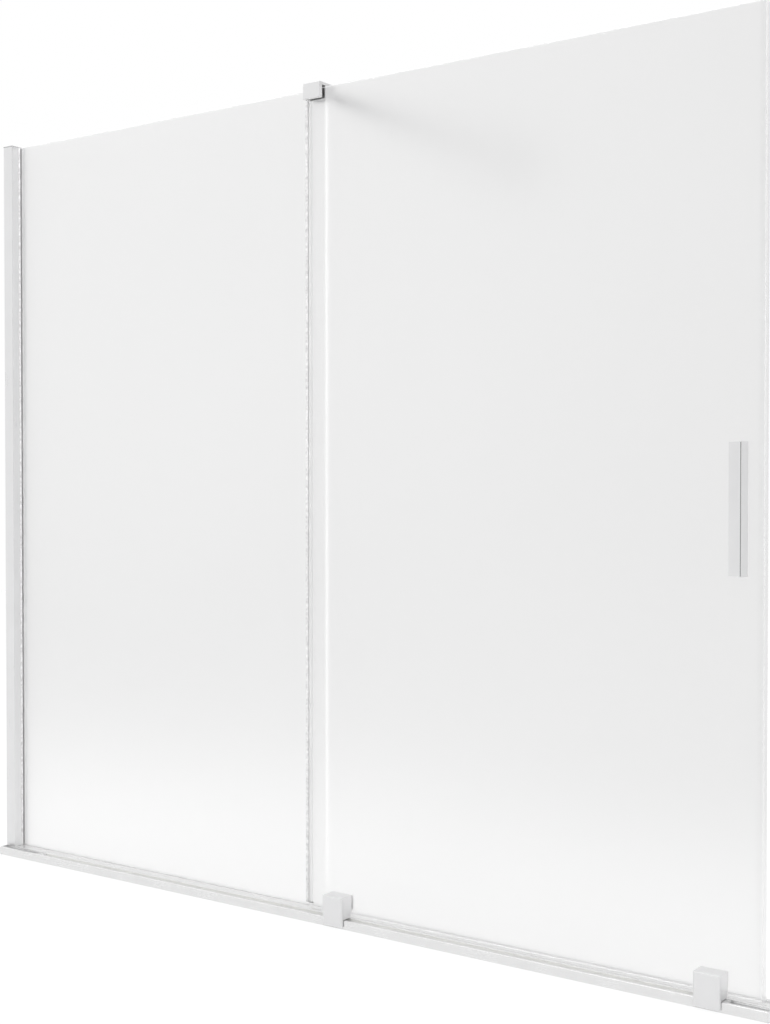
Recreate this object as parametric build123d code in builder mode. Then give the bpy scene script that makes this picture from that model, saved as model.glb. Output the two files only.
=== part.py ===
from build123d import *
import os

# Sliding bath screen: one fixed pane, and one pane that rolls in front of it along a low rail.
# Units are millimetres. X runs along the rail away from the wall profile, Y runs into the bath
# and Z is up. The origin lies on the rail's underside, halfway along it, under the fixed glass.

os.makedirs("parts", exist_ok=True)

# Driving dimensions of the whole screen
rail_length = 1700.0
screen_height = 1500.0
glass_thickness = 6.0
fixed_reach = 851.0
pane_overlap = 27.0
sliding_end_gap = 21.0
pane_gap = 10.0
top_drop = 3.3
open_gap = 26.0

# Bottom rail section
rail_top = 15.5
rail_floor = 2.0
rail_front_reach = 25.0
rail_back_reach = 10.0
front_rib = 6.0
track_groove_width = 14.0
track_floor = 8.0
bead_radius = 2.0
bead_top = 12.0
glass_groove_width = 10.0
glass_groove_floor = 4.0
chamber_wall = 2.0
rail_edge_radius = 1.0
end_cap_thickness = 2.5
end_cap_plug = 8.0
plug_clearance = 0.2

# Fixed glass setting
setting_block = 2.0
glass_wall_gap = 10.0
glass_arris = 0.5
gasket_clearance = 0.1
filler_wall = 1.5

# Wall profile
profile_width = 27.0
profile_front_reach = 21.0
profile_back_reach = 11.0
profile_wall = 1.8
profile_wall_gap = 1.0
profile_edge_radius = 0.8
channel_depth = 20.0
channel_base = 2.0
telescope_clearance = 0.3
gasket_thickness = 3.5
gasket_head = 2.0
gasket_tail = 3.5
gasket_barb = 1.4
gasket_head_set_back = 0.8
hook_wall = 1.2
hook_reach = 2.3
hook_room = 3.6
profile_foot_gap = 0.2
profile_cap_height = 2.5
profile_cap_plug = 6.0
wall_hole_radius = 2.6
wall_hole_margin = 90.0
wall_hole_count = 4
wall_hole_offset = 11.5
lock_screw_radius = 2.0
lock_screw_margin = 140.0
lock_screw_count = 3
lock_head_radius = 3.6
lock_head_height = 2.2
lock_cap_radius = 5.5
lock_cap_height = 4.0
thread_clearance = 0.05

# Top guide bracket
bracket_width = 38.0
bracket_overhang = 5.0
bracket_height = 28.0
bracket_roof = 6.0
bracket_front_reach = 9.5
bracket_back_reach = 17.0
bracket_edge_radius = 1.0
liner_wall = 1.5
liner_clearance = 0.4
liner_slot_gap = 0.1
liner_roof_gap = 2.7
pad_thickness = 1.5
bracket_glass_gap = 0.5
bracket_pad_height = 18.0
clamp_screw_wall = 0.9
clamp_screw_radius = 2.0

# Support arm to the rear wall
rear_wall_distance = 700.0
arm_radius = 8.0
arm_wall = 1.5
arm_insert = 11.5
arm_clearance = 0.1
arm_end_gap = 4.0
arm_screw_radius = 2.0
socket_flange = 50.0
socket_flange_thickness = 5.0
socket_corner = 6.0
socket_cup_radius = 12.0
socket_cup_length = 26.0
socket_hole_spacing = 34.0
socket_hole_radius = 2.6
socket_screw_inset = 8.0

# Sliding pane
sliding_glass_lift = 4.5
seal_leg = 8.0
seal_wall = 1.1
seal_fin = 1.0
seal_fin_reach = 8.0
seal_running_gap = 0.4
seal_foot_gap = 7.0
bulb_radius = 2.5
bulb_wall = 0.8
seal_top_gap = 2.0
wiper_leg = 3.0
wiper_wall = 1.0
wiper_gap = 0.3
foot_rail_gap = 1.0

# Roller carriages
carriage_inset = 52.5
carriage_width = 44.0
carriage_top = 56.0
carriage_rail_gap = 1.2
cover_thickness = 5.0
cover_rail_gap = 1.0
cover_bottom = 4.0
cover_corner = 4.5
carriage_edge_radius = 1.0
carriage_pad = 0.8
wheel_radius = 13.0
wheel_width = 8.0
wheel_track_gap = 0.3
bearing_radius = 8.0
bearing_width = 5.0
shield_depth = 0.4
shield_inner = 4.2
shield_outer = 6.8
axle_radius = 2.5
axle_clearance = 0.05
axle_head_radius = 4.0
axle_head_height = 1.6
wheel_room = 2.0
wheel_side_room = 1.6
spacer_radius = 4.0
spacer_gap = 0.1
carriage_screw_spacing = 24.0
carriage_screw_height = 46.0
screw_radius = 2.5
screw_head_radius = 4.6
screw_head_depth = 2.1
screw_grip = 9.0
glass_hole_radius = 6.0
bush_clearance = 0.2
clamp_plate = 3.5
clamp_plate_bottom = 28.0
clamp_plate_inset = 3.0
wiper_relief_top = 24.5
wiper_relief = 2.4
socket_hex = 1.5
socket_depth = 1.2

# Track stops
stop_length = 16.0
stop_gap = 0.3
stop_top = 15.0
buffer_thickness = 3.0
buffer_wheel_gap = 1.0

# Handle
handle_length = 200.0
handle_centre = 750.0
handle_inset = 24.0
handle_blade = 4.0
handle_reach = 27.5
handle_flange = 29.0
handle_flange_thickness = 4.0
handle_pad = 0.5
handle_edge_radius = 0.8
handle_screw_spacing = 120.0
handle_blind_wall = 0.9
handle_back_plate = 3.0
handle_back_plate_width = 20.0

# Places along X, worked out from the dimensions above
wall_x = -rail_length / 2
rail_end_x = rail_length / 2
fixed_right = wall_x + fixed_reach
fixed_left = wall_x + glass_wall_gap
sliding_right = rail_end_x - sliding_end_gap
sliding_left = fixed_right - pane_overlap
sliding_width = sliding_right - sliding_left
profile_right = wall_x + profile_width
slide_travel = sliding_left - seal_fin_reach - seal_fin - profile_right - gasket_head - open_gap
bracket_right = fixed_right + bracket_overhang
bracket_left = bracket_right - bracket_width
bracket_middle = (bracket_left + bracket_right) / 2
carriage_x = {
    "left": sliding_left + carriage_inset + carriage_width / 2,
    "right": sliding_right - carriage_inset - carriage_width / 2,
}
blade_right = sliding_right - handle_inset
flange_left = blade_right - handle_flange
handle_screw_x = flange_left + (handle_flange - handle_blade) / 2

# Places along Y: the fixed glass is centred on zero, the sliding glass runs in front of it
fixed_front = -glass_thickness / 2
fixed_back = glass_thickness / 2
sliding_back = fixed_front - pane_gap
sliding_front = sliding_back - glass_thickness
rail_front = sliding_front - rail_front_reach
rail_back = fixed_back + rail_back_reach
groove_front = rail_front + front_rib
groove_back = groove_front + track_groove_width
track_y = (groove_front + groove_back) / 2
profile_front = fixed_front - profile_front_reach
profile_back = fixed_back + profile_back_reach
bracket_front = sliding_front - bracket_front_reach
bracket_back = fixed_back + bracket_back_reach
cover_back = rail_front - cover_rail_gap
cover_front = cover_back - cover_thickness
housing_back = sliding_front - carriage_pad
plate_front = sliding_back + carriage_pad
plate_back = plate_front + clamp_plate

# Places along Z
glass_foot = glass_groove_floor + setting_block
sliding_foot = rail_top + sliding_glass_lift
sliding_top = screen_height - top_drop
profile_foot = rail_top + profile_foot_gap
bracket_top = screen_height + bracket_roof
bracket_foot = bracket_top - bracket_height
arm_z = (bracket_top + bracket_foot) / 2
bead_centre = bead_top - bead_radius
carriage_foot = rail_top + carriage_rail_gap
wheel_groove_radius = wheel_radius - bead_radius
wheel_z = bead_top + wheel_track_gap + wheel_groove_radius
handle_foot = handle_centre - handle_length / 2
seal_foot = sliding_foot + seal_foot_gap


def spread(low, high, count):
    """Evenly spaced places from low to high."""
    return [low + (high - low) * i / (count - 1) for i in range(count)]


def facing_front(y):
    """Plane at depth y whose extrusions grow towards the front of the screen."""
    return Plane.XZ.offset(-y)


def box_between(x0, x1, y0, y1, z0, z1):
    """Square-edged block between two corners."""
    with BuildPart() as block:
        with BuildSketch(Plane.XY.offset(z0)):
            with Locations(((x0 + x1) / 2, (y0 + y1) / 2)):
                Rectangle(x1 - x0, y1 - y0)
        extrude(amount=z1 - z0)
    return block.part


def post_between(points, z0, z1):
    """Upright piece with the outline points, given as X and Y."""
    with BuildPart() as post:
        with BuildSketch(Plane.XY.offset(z0)):
            with BuildLine():
                Polyline(*points, close=True)
            make_face()
        extrude(amount=z1 - z0)
    return post.part


def strip_between(points, x0, x1):
    """Piece lying along the rail with the outline points, given as Y and Z."""
    with BuildPart() as strip:
        with BuildSketch(Plane.YZ.offset(x0)):
            with BuildLine():
                Polyline(*points, close=True)
            make_face()
        extrude(amount=x1 - x0)
    return strip.part


def countersunk_screw(x, z, y_head, y_tip):
    """Screw across the screen, its flat head towards the back and a hex socket in it."""
    head_front = y_head - screw_head_depth
    with BuildPart() as screw:
        with BuildSketch(facing_front(y_head)):
            with Locations((x, z)):
                Circle(screw_head_radius)
        with BuildSketch(facing_front(head_front)):
            with Locations((x, z)):
                Circle(screw_radius)
        loft()
        with BuildSketch(facing_front(head_front)):
            with Locations((x, z)):
                Circle(screw_radius)
        extrude(amount=head_front - y_tip)
        with BuildSketch(facing_front(y_head)):
            with Locations((x, z)):
                RegularPolygon(socket_hex, 6)
        extrude(amount=socket_depth, mode=Mode.SUBTRACT)
    return screw.part


def countersunk_hole(x, z, y_head, y_tip):
    """The space of a countersunk screw with its thread clearance, to be cut from a plate."""
    head_front = y_head - screw_head_depth
    hole_radius = screw_radius + thread_clearance
    with BuildPart() as hole:
        with BuildSketch(facing_front(y_head)):
            with Locations((x, z)):
                Circle(screw_head_radius + thread_clearance)
        with BuildSketch(facing_front(head_front)):
            with Locations((x, z)):
                Circle(hole_radius)
        loft()
        with BuildSketch(facing_front(head_front)):
            with Locations((x, z)):
                Circle(hole_radius)
        extrude(amount=head_front - y_tip)
    return hole.part


def save(solid, name):
    """Label a piece and write it under its own name."""
    solid.label = name
    export_step(solid, f"parts/{name}.step")


# Bottom rail: rib, roller track with its bead, deck, and the groove that holds the fixed glass
deck_back = -glass_groove_width / 2
with BuildPart() as bottom_rail:
    with BuildSketch(Plane.YZ.offset(wall_x + end_cap_thickness)):
        with BuildLine():
            Polyline(
                (track_y - bead_radius, bead_centre),
                (track_y - bead_radius, track_floor),
                (groove_front, track_floor),
                (groove_front, rail_top),
                (rail_front, rail_top),
                (rail_front, 0),
                (rail_back, 0),
                (rail_back, rail_top),
                (-deck_back, rail_top),
                (-deck_back, glass_groove_floor),
                (deck_back, glass_groove_floor),
                (deck_back, rail_top),
                (groove_back, rail_top),
                (groove_back, track_floor),
                (track_y + bead_radius, track_floor),
                (track_y + bead_radius, bead_centre),
            )
            ThreePointArc(
                (track_y + bead_radius, bead_centre),
                (track_y, bead_top),
                (track_y - bead_radius, bead_centre),
            )
        make_face()
        chamber_front = groove_back + chamber_wall
        chamber_back = deck_back - chamber_wall
        with Locations(((chamber_front + chamber_back) / 2, rail_top / 2)):
            Rectangle(chamber_back - chamber_front, rail_top - 2 * rail_floor, mode=Mode.SUBTRACT)
        with Locations((track_y, track_floor / 2)):
            Rectangle(track_groove_width, track_floor - 2 * rail_floor, mode=Mode.SUBTRACT)
    extrude(amount=rail_length - 2 * end_cap_thickness)
    rib_edges = bottom_rail.edges().filter_by(Axis.X).group_by(Axis.Z)[-1].sort_by(Axis.Y)
    fillet([rib_edges[0], rib_edges[-1]], radius=rail_edge_radius)
save(bottom_rail.part, "bottom_rail")

# Rail end caps, each with a plug that fills the deck chamber
for side, outer_x, inner_x, plug_way in (
    ("left", wall_x, wall_x + end_cap_thickness, 1),
    ("right", rail_end_x - end_cap_thickness, rail_end_x - end_cap_thickness, -1),
):
    with BuildPart() as rail_end_cap:
        with BuildSketch(Plane.YZ.offset(outer_x)):
            with Locations(((rail_front + rail_back) / 2, rail_top / 2)):
                Rectangle(rail_back - rail_front, rail_top)
        extrude(amount=end_cap_thickness)
        cap_edges = rail_end_cap.edges().filter_by(Axis.X).group_by(Axis.Z)[-1]
        fillet(cap_edges, radius=rail_edge_radius)
        with BuildSketch(Plane.YZ.offset(inner_x)):
            with Locations(((chamber_front + chamber_back) / 2, rail_top / 2)):
                Rectangle(
                    chamber_back - chamber_front - 2 * plug_clearance,
                    rail_top - 2 * rail_floor - 2 * plug_clearance,
                )
        extrude(amount=plug_way * end_cap_plug)
    save(rail_end_cap.part, f"rail_end_cap_{side}")

# U-shaped base gasket of the fixed glass
gasket_outer = glass_groove_width / 2 - gasket_clearance
base_gasket = strip_between(
    [
        (-gasket_outer, rail_top),
        (-gasket_outer, glass_groove_floor),
        (gasket_outer, glass_groove_floor),
        (gasket_outer, rail_top),
        (fixed_back, rail_top),
        (fixed_back, glass_foot),
        (fixed_front, glass_foot),
        (fixed_front, rail_top),
    ],
    fixed_left,
    fixed_right,
)
save(base_gasket, "base_gasket")

# Snap-in strip that closes the groove beyond the fixed glass, standing on the groove's floor
groove_filler = strip_between(
    [
        (-gasket_outer, glass_groove_floor),
        (-gasket_outer, rail_top),
        (gasket_outer, rail_top),
        (gasket_outer, glass_groove_floor),
        (gasket_outer - filler_wall, glass_groove_floor),
        (gasket_outer - filler_wall, rail_top - filler_wall),
        (filler_wall - gasket_outer, rail_top - filler_wall),
        (filler_wall - gasket_outer, glass_groove_floor),
    ],
    fixed_right + gasket_clearance,
    rail_end_x - end_cap_thickness,
)
save(groove_filler, "groove_filler")

# Fixed glass with ground arrises
with BuildPart() as fixed_glass:
    with BuildSketch(Plane.XZ.offset(-fixed_back)):
        with Locations(((fixed_left + fixed_right) / 2, (glass_foot + screen_height) / 2)):
            Rectangle(fixed_right - fixed_left, screen_height - glass_foot)
    extrude(amount=glass_thickness)
    arris_edges = fixed_glass.edges().group_by(Axis.X)[-1].filter_by(Axis.Z)
    arris_edges += fixed_glass.edges().group_by(Axis.Z)[-1].filter_by(Axis.X)
    chamfer(arris_edges, length=glass_arris)
save(fixed_glass.part, "fixed_glass")

# Wall channel, screwed to the wall through its base
channel_front = profile_front + profile_wall + telescope_clearance
channel_back = profile_back - profile_wall - telescope_clearance
wall_holes_z = spread(profile_foot + wall_hole_margin, screen_height - wall_hole_margin, wall_hole_count)
with BuildPart() as wall_channel:
    with BuildSketch(Plane.XY.offset(profile_foot)):
        with BuildLine():
            Polyline(
                (wall_x, channel_front),
                (wall_x + channel_depth, channel_front),
                (wall_x + channel_depth, channel_front + profile_wall),
                (wall_x + channel_base, channel_front + profile_wall),
                (wall_x + channel_base, channel_back - profile_wall),
                (wall_x + channel_depth, channel_back - profile_wall),
                (wall_x + channel_depth, channel_back),
                (wall_x, channel_back),
                close=True,
            )
        make_face()
    extrude(amount=screen_height - profile_foot)
    with BuildSketch(Plane.YZ.offset(wall_x)):
        with Locations(*[(fixed_front - wall_hole_offset, z) for z in wall_holes_z]):
            Circle(wall_hole_radius)
    extrude(amount=channel_base, mode=Mode.SUBTRACT)
    lock_screws_z = spread(
        profile_foot + lock_screw_margin, screen_height - lock_screw_margin, lock_screw_count
    )
    lock_x = wall_x + channel_depth / 2
    with BuildSketch(facing_front(channel_back)):
        with Locations(*[(lock_x, z) for z in lock_screws_z]):
            Circle(lock_screw_radius + thread_clearance)
    extrude(amount=profile_wall, mode=Mode.SUBTRACT)
save(wall_channel.part, "wall_channel")

# Cover profiles: the visible front and back of the wall profile, hooked over the channel's legs
slot_y = {"front": fixed_front - gasket_thickness, "back": fixed_back + gasket_thickness}
cover_y = {"front": profile_front, "back": profile_back}


def cover_outline(side):
    """Outline of one cover profile, with the rib and barb that hook behind the channel's leg."""
    outer = cover_y[side]
    inward = 1 if side == "front" else -1
    skin = outer + inward * profile_wall
    barb_near = outer + inward * 2 * (profile_wall + telescope_clearance)
    barb_far = barb_near + inward * hook_wall
    rib_left = wall_x + channel_depth + telescope_clearance
    rib_right = rib_left + hook_wall
    return [
        (wall_x + profile_wall_gap, outer),
        (profile_right, outer),
        (profile_right, slot_y[side]),
        (profile_right - profile_wall, slot_y[side]),
        (profile_right - profile_wall, skin),
        (rib_right, skin),
        (rib_right, barb_far),
        (rib_left - hook_reach, barb_far),
        (rib_left - hook_reach, barb_near),
        (rib_left, barb_near),
        (rib_left, skin),
        (wall_x + profile_wall_gap, skin),
    ]


for side in ("front", "back"):
    with BuildPart() as cover_profile:
        with BuildSketch(Plane.XY.offset(profile_foot)):
            with BuildLine():
                Polyline(*cover_outline(side), close=True)
            make_face()
        extrude(amount=screen_height - profile_foot)
        corner = cover_profile.edges().filter_by(Axis.Z).sort_by_distance(
            (profile_right, cover_y[side], (profile_foot + screen_height) / 2)
        )[0]
        fillet(corner, radius=profile_edge_radius)
        if side == "back":
            with BuildSketch(facing_front(profile_back)):
                with Locations(*[(lock_x, z) for z in lock_screws_z]):
                    Circle(lock_screw_radius + thread_clearance)
            extrude(amount=profile_wall, mode=Mode.SUBTRACT)
    save(cover_profile.part, f"cover_profile_{side}")

# Glazing gaskets: a barb behind the cover's lip, a neck in the slot and a soft head outside
for side, face_y in (("front", fixed_front), ("back", fixed_back)):
    lip_y = slot_y[side]
    outward = -1 if side == "front" else 1
    lip_left = profile_right - profile_wall
    glazing_gasket = post_between(
        [
            (lip_left - gasket_tail, face_y),
            (profile_right + gasket_head, face_y),
            (profile_right + gasket_head - gasket_head_set_back, lip_y - outward * gasket_head_set_back),
            (profile_right, lip_y),
            (lip_left, lip_y),
            (lip_left, lip_y + outward * gasket_barb),
            (lip_left - gasket_tail, lip_y),
        ],
        profile_foot,
        screen_height,
    )
    save(glazing_gasket, f"glazing_gasket_{side}")

# Moulded cap on top of the wall profile, with a plug on each side of the glass
with BuildPart() as profile_cap:
    with BuildSketch(Plane.XY.offset(screen_height)):
        with Locations(((wall_x + profile_right) / 2, (profile_front + profile_back) / 2)):
            Rectangle(profile_width, profile_back - profile_front)
    extrude(amount=profile_cap_height)
    rim = profile_cap.edges().group_by(Axis.Z)[-1].sort_by(Axis.X)[1:]
    fillet(rim, radius=profile_edge_radius)
    with BuildSketch(Plane.XY.offset(screen_height)):
        for plug_y0, plug_y1 in (
            (channel_front + profile_wall + hook_room, fixed_front - plug_clearance),
            (fixed_back + plug_clearance, channel_back - profile_wall - hook_room),
        ):
            with Locations((wall_x + channel_depth / 2, (plug_y0 + plug_y1) / 2)):
                Rectangle(channel_depth / 2, plug_y1 - plug_y0)
    extrude(amount=-profile_cap_plug)
save(profile_cap.part, "profile_cap")

# Pan-head screws that lock the back cover to the channel, and their snap-on caps
with BuildPart() as lock_screws:
    with BuildSketch(facing_front(profile_back)):
        with Locations(*[(lock_x, z) for z in lock_screws_z]):
            Circle(lock_screw_radius)
    extrude(amount=2 * profile_wall + telescope_clearance)
    with BuildSketch(facing_front(profile_back + lock_head_height)):
        with Locations(*[(lock_x, z) for z in lock_screws_z]):
            Circle(lock_head_radius)
    extrude(amount=lock_head_height)
    with BuildSketch(facing_front(profile_back + lock_head_height)):
        with Locations(*[(lock_x, z) for z in lock_screws_z]):
            RegularPolygon(socket_hex, 6)
    extrude(amount=socket_depth, mode=Mode.SUBTRACT)
save(lock_screws.part, "lock_screws")

with BuildPart() as lock_screw_caps:
    with BuildSketch(facing_front(profile_back + lock_cap_height)):
        with Locations(*[(lock_x, z) for z in lock_screws_z]):
            Circle(lock_cap_radius)
    extrude(amount=lock_cap_height)
    fillet(lock_screw_caps.edges().group_by(Axis.Y)[-1], radius=profile_edge_radius)
    with BuildSketch(facing_front(profile_back + lock_head_height + plug_clearance)):
        with Locations(*[(lock_x, z) for z in lock_screws_z]):
            Circle(lock_head_radius + plug_clearance)
    extrude(amount=lock_head_height + plug_clearance, mode=Mode.SUBTRACT)
save(lock_screw_caps.part, "lock_screw_caps")

# Top guide bracket: one slot clamps the fixed glass, the other lets the sliding glass through
liner_front = sliding_front - liner_clearance - liner_wall
liner_back = sliding_back + liner_clearance + liner_wall
liner_top = sliding_top + liner_roof_gap + liner_wall
guide_slot_front = liner_front - liner_slot_gap
guide_slot_back = liner_back + liner_slot_gap
clamp_slot_front = fixed_front - pad_thickness
clamp_slot_back = fixed_back + pad_thickness
clamp_slot_right = fixed_right + bracket_glass_gap
clamp_slot_top = screen_height + bracket_glass_gap
clamp_screw_step = arm_radius + arm_clearance + clamp_screw_wall + clamp_screw_radius
clamp_screw_x = (bracket_middle - clamp_screw_step, bracket_middle + clamp_screw_step)
with BuildPart() as guide_bracket:
    with BuildSketch(Plane.XY.offset(bracket_foot)):
        with Locations((bracket_middle, (bracket_front + bracket_back) / 2)):
            Rectangle(bracket_width, bracket_back - bracket_front)
    extrude(amount=bracket_height)
    outer_edges = guide_bracket.edges().group_by(Axis.Y)[0] + guide_bracket.edges().group_by(Axis.Y)[-1]
    fillet(outer_edges, radius=bracket_edge_radius)
    with BuildSketch(Plane.YZ.offset(bracket_left)):
        with Locations(((guide_slot_front + guide_slot_back) / 2, (bracket_foot + liner_top) / 2)):
            Rectangle(guide_slot_back - guide_slot_front, liner_top - bracket_foot)
    extrude(amount=bracket_width, mode=Mode.SUBTRACT)
    with BuildSketch(Plane.YZ.offset(bracket_left)):
        with Locations((0, (bracket_foot + clamp_slot_top) / 2)):
            Rectangle(clamp_slot_back - clamp_slot_front, clamp_slot_top - bracket_foot)
    extrude(amount=clamp_slot_right - bracket_left, mode=Mode.SUBTRACT)
    with BuildSketch(facing_front(bracket_back)):
        with Locations((bracket_middle, arm_z)):
            Circle(arm_radius + arm_clearance)
    extrude(amount=arm_insert, mode=Mode.SUBTRACT)
    with BuildSketch(facing_front(bracket_back)):
        with Locations(*[(x, arm_z) for x in clamp_screw_x]):
            Circle(clamp_screw_radius + thread_clearance)
    extrude(amount=bracket_back - clamp_slot_back, mode=Mode.SUBTRACT)
    with BuildSketch(Plane.XY.offset(bracket_foot)):
        with Locations((bracket_middle, bracket_back - arm_insert / 2)):
            Circle(arm_screw_radius + thread_clearance)
    extrude(amount=arm_z - bracket_foot, mode=Mode.SUBTRACT)
save(guide_bracket.part, "guide_bracket")

guide_liner = strip_between(
    [
        (liner_front, bracket_foot),
        (liner_front, liner_top),
        (liner_back, liner_top),
        (liner_back, bracket_foot),
        (liner_back - liner_wall, bracket_foot),
        (liner_back - liner_wall, liner_top - liner_wall),
        (liner_front + liner_wall, liner_top - liner_wall),
        (liner_front + liner_wall, bracket_foot),
    ],
    bracket_left,
    bracket_right,
)
save(guide_liner, "guide_liner")

for side, pad_y0, pad_y1 in (
    ("front", clamp_slot_front, fixed_front),
    ("back", fixed_back, clamp_slot_back),
):
    clamp_pad = box_between(
        bracket_left + bracket_edge_radius,
        fixed_right - bracket_edge_radius,
        pad_y0,
        pad_y1,
        arm_z - bracket_pad_height / 2,
        arm_z + bracket_pad_height / 2 - bracket_roof / 2,
    )
    save(clamp_pad, f"clamp_pad_{side}")

with BuildPart() as clamp_grub_screws:
    with BuildSketch(facing_front(bracket_back)):
        with Locations(*[(x, arm_z) for x in clamp_screw_x]):
            Circle(clamp_screw_radius)
            RegularPolygon(socket_hex, 6, mode=Mode.SUBTRACT)
    extrude(amount=socket_depth)
    with BuildSketch(facing_front(bracket_back - socket_depth)):
        with Locations(*[(x, arm_z) for x in clamp_screw_x]):
            Circle(clamp_screw_radius)
    extrude(amount=bracket_back - socket_depth - clamp_slot_back)
save(clamp_grub_screws.part, "clamp_grub_screws")

# Support arm from the bracket to the rear wall
arm_start = bracket_back - arm_insert
arm_end = rear_wall_distance - arm_end_gap
with BuildPart() as support_arm:
    with BuildSketch(facing_front(arm_end)):
        with Locations((bracket_middle, arm_z)):
            Circle(arm_radius)
            Circle(arm_radius - arm_wall, mode=Mode.SUBTRACT)
    extrude(amount=arm_end - arm_start)
save(support_arm.part, "support_arm")

# Wall socket of the arm: a square flange with two screw holes and a round cup
socket_holes = [
    (bracket_middle, arm_z - socket_hole_spacing / 2),
    (bracket_middle, arm_z + socket_hole_spacing / 2),
]
cup_front = rear_wall_distance - socket_cup_length
with BuildPart() as arm_socket:
    with BuildSketch(facing_front(rear_wall_distance)):
        with Locations((bracket_middle, arm_z)):
            RectangleRounded(socket_flange, socket_flange, socket_corner)
    extrude(amount=socket_flange_thickness)
    fillet(arm_socket.edges().group_by(Axis.Y)[0], radius=bracket_edge_radius)
    with BuildSketch(facing_front(rear_wall_distance)):
        with Locations((bracket_middle, arm_z)):
            Circle(socket_cup_radius)
    extrude(amount=socket_cup_length)
    fillet(arm_socket.edges().group_by(Axis.Y)[0], radius=bracket_edge_radius)
    with BuildSketch(facing_front(arm_end)):
        with Locations((bracket_middle, arm_z)):
            Circle(arm_radius + arm_clearance)
    extrude(amount=arm_end - cup_front, mode=Mode.SUBTRACT)
    with BuildSketch(facing_front(rear_wall_distance)):
        with Locations(*socket_holes):
            Circle(socket_hole_radius)
    extrude(amount=socket_flange_thickness, mode=Mode.SUBTRACT)
    with BuildSketch(Plane.XY.offset(arm_z - socket_cup_radius)):
        with Locations((bracket_middle, cup_front + socket_screw_inset)):
            Circle(arm_screw_radius + thread_clearance)
    extrude(amount=socket_cup_radius, mode=Mode.SUBTRACT)
save(arm_socket.part, "arm_socket")

# Grub screws that hold the arm, one from below at each end
for name, screw_y, screw_foot in (
    ("arm_bracket_screw", bracket_back - arm_insert / 2, bracket_foot),
    ("arm_socket_screw", cup_front + socket_screw_inset, arm_z - socket_cup_radius + plug_clearance),
):
    with BuildPart() as grub_screw:
        with BuildSketch(Plane.XY.offset(screw_foot)):
            with Locations((bracket_middle, screw_y)):
                Circle(arm_screw_radius)
        extrude(amount=arm_z - arm_radius - plug_clearance - screw_foot)
        with BuildSketch(Plane.XY.offset(screw_foot)):
            with Locations((bracket_middle, screw_y)):
                RegularPolygon(arm_screw_radius / 2, 6)
        extrude(amount=socket_depth, mode=Mode.SUBTRACT)
    save(grub_screw.part, name)

# Track stops with soft buffers, one at each end of the wheels' travel
buffer_chord = (wheel_radius**2 - (wheel_z - stop_top) ** 2) ** 0.5
left_stop_face = carriage_x["left"] - slide_travel - buffer_chord - buffer_wheel_gap
right_stop_face = carriage_x["right"] + buffer_chord + buffer_wheel_gap
bead_side = bead_radius + stop_gap
stop_outline = [
    (groove_front + stop_gap, track_floor),
    (groove_front + stop_gap, stop_top),
    (groove_back - stop_gap, stop_top),
    (groove_back - stop_gap, track_floor),
    (track_y + bead_side, track_floor),
    (track_y + bead_side, bead_top + stop_gap),
    (track_y - bead_side, bead_top + stop_gap),
    (track_y - bead_side, track_floor),
]
for side, face_x, away in (("left", left_stop_face, -1), ("right", right_stop_face, 1)):
    buffer_root = face_x + away * buffer_thickness
    stop_end = buffer_root + away * stop_length
    track_stop = strip_between(stop_outline, min(buffer_root, stop_end), max(buffer_root, stop_end))
    save(track_stop, f"track_stop_{side}")
    stop_buffer = strip_between(stop_outline, min(buffer_root, face_x), max(buffer_root, face_x))
    save(stop_buffer, f"stop_buffer_{side}")

# Sliding glass, drilled for the carriages and the handle
carriage_holes = [
    (x + step, carriage_screw_height)
    for x in carriage_x.values()
    for step in (-carriage_screw_spacing / 2, carriage_screw_spacing / 2)
]
handle_holes = [
    (handle_screw_x, handle_centre - handle_screw_spacing / 2),
    (handle_screw_x, handle_centre + handle_screw_spacing / 2),
]
with BuildPart() as sliding_glass:
    with BuildSketch(facing_front(sliding_back)):
        with Locations(((sliding_left + sliding_right) / 2, (sliding_foot + sliding_top) / 2)):
            Rectangle(sliding_width, sliding_top - sliding_foot)
    extrude(amount=glass_thickness)
    top_edges = sliding_glass.edges().group_by(Axis.Z)[-1].filter_by(Axis.X)
    chamfer(top_edges, length=glass_arris)
    with BuildSketch(facing_front(sliding_back)):
        with Locations(*carriage_holes, *handle_holes):
            Circle(glass_hole_radius)
    extrude(amount=glass_thickness, mode=Mode.SUBTRACT)
save(sliding_glass.part, "sliding_glass")

# Trailing seal: clips on the sliding glass and wipes the fixed glass with a slanted fin
leg_front = sliding_front - seal_wall
leg_back = sliding_back + seal_wall
fin_tip_y = fixed_front - seal_running_gap
trailing_seal = post_between(
    [
        (sliding_left + seal_leg, leg_front),
        (sliding_left + seal_leg, sliding_front),
        (sliding_left, sliding_front),
        (sliding_left, sliding_back),
        (sliding_left + seal_leg, sliding_back),
        (sliding_left + seal_leg, leg_back),
        (sliding_left, leg_back),
        (sliding_left - seal_fin_reach, fin_tip_y),
        (sliding_left - seal_fin_reach - seal_fin, fin_tip_y),
        (sliding_left - seal_wall, sliding_back),
        (sliding_left - seal_wall, leg_front),
    ],
    seal_foot,
    bracket_foot - seal_top_gap,
)
save(trailing_seal, "trailing_seal")

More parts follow.
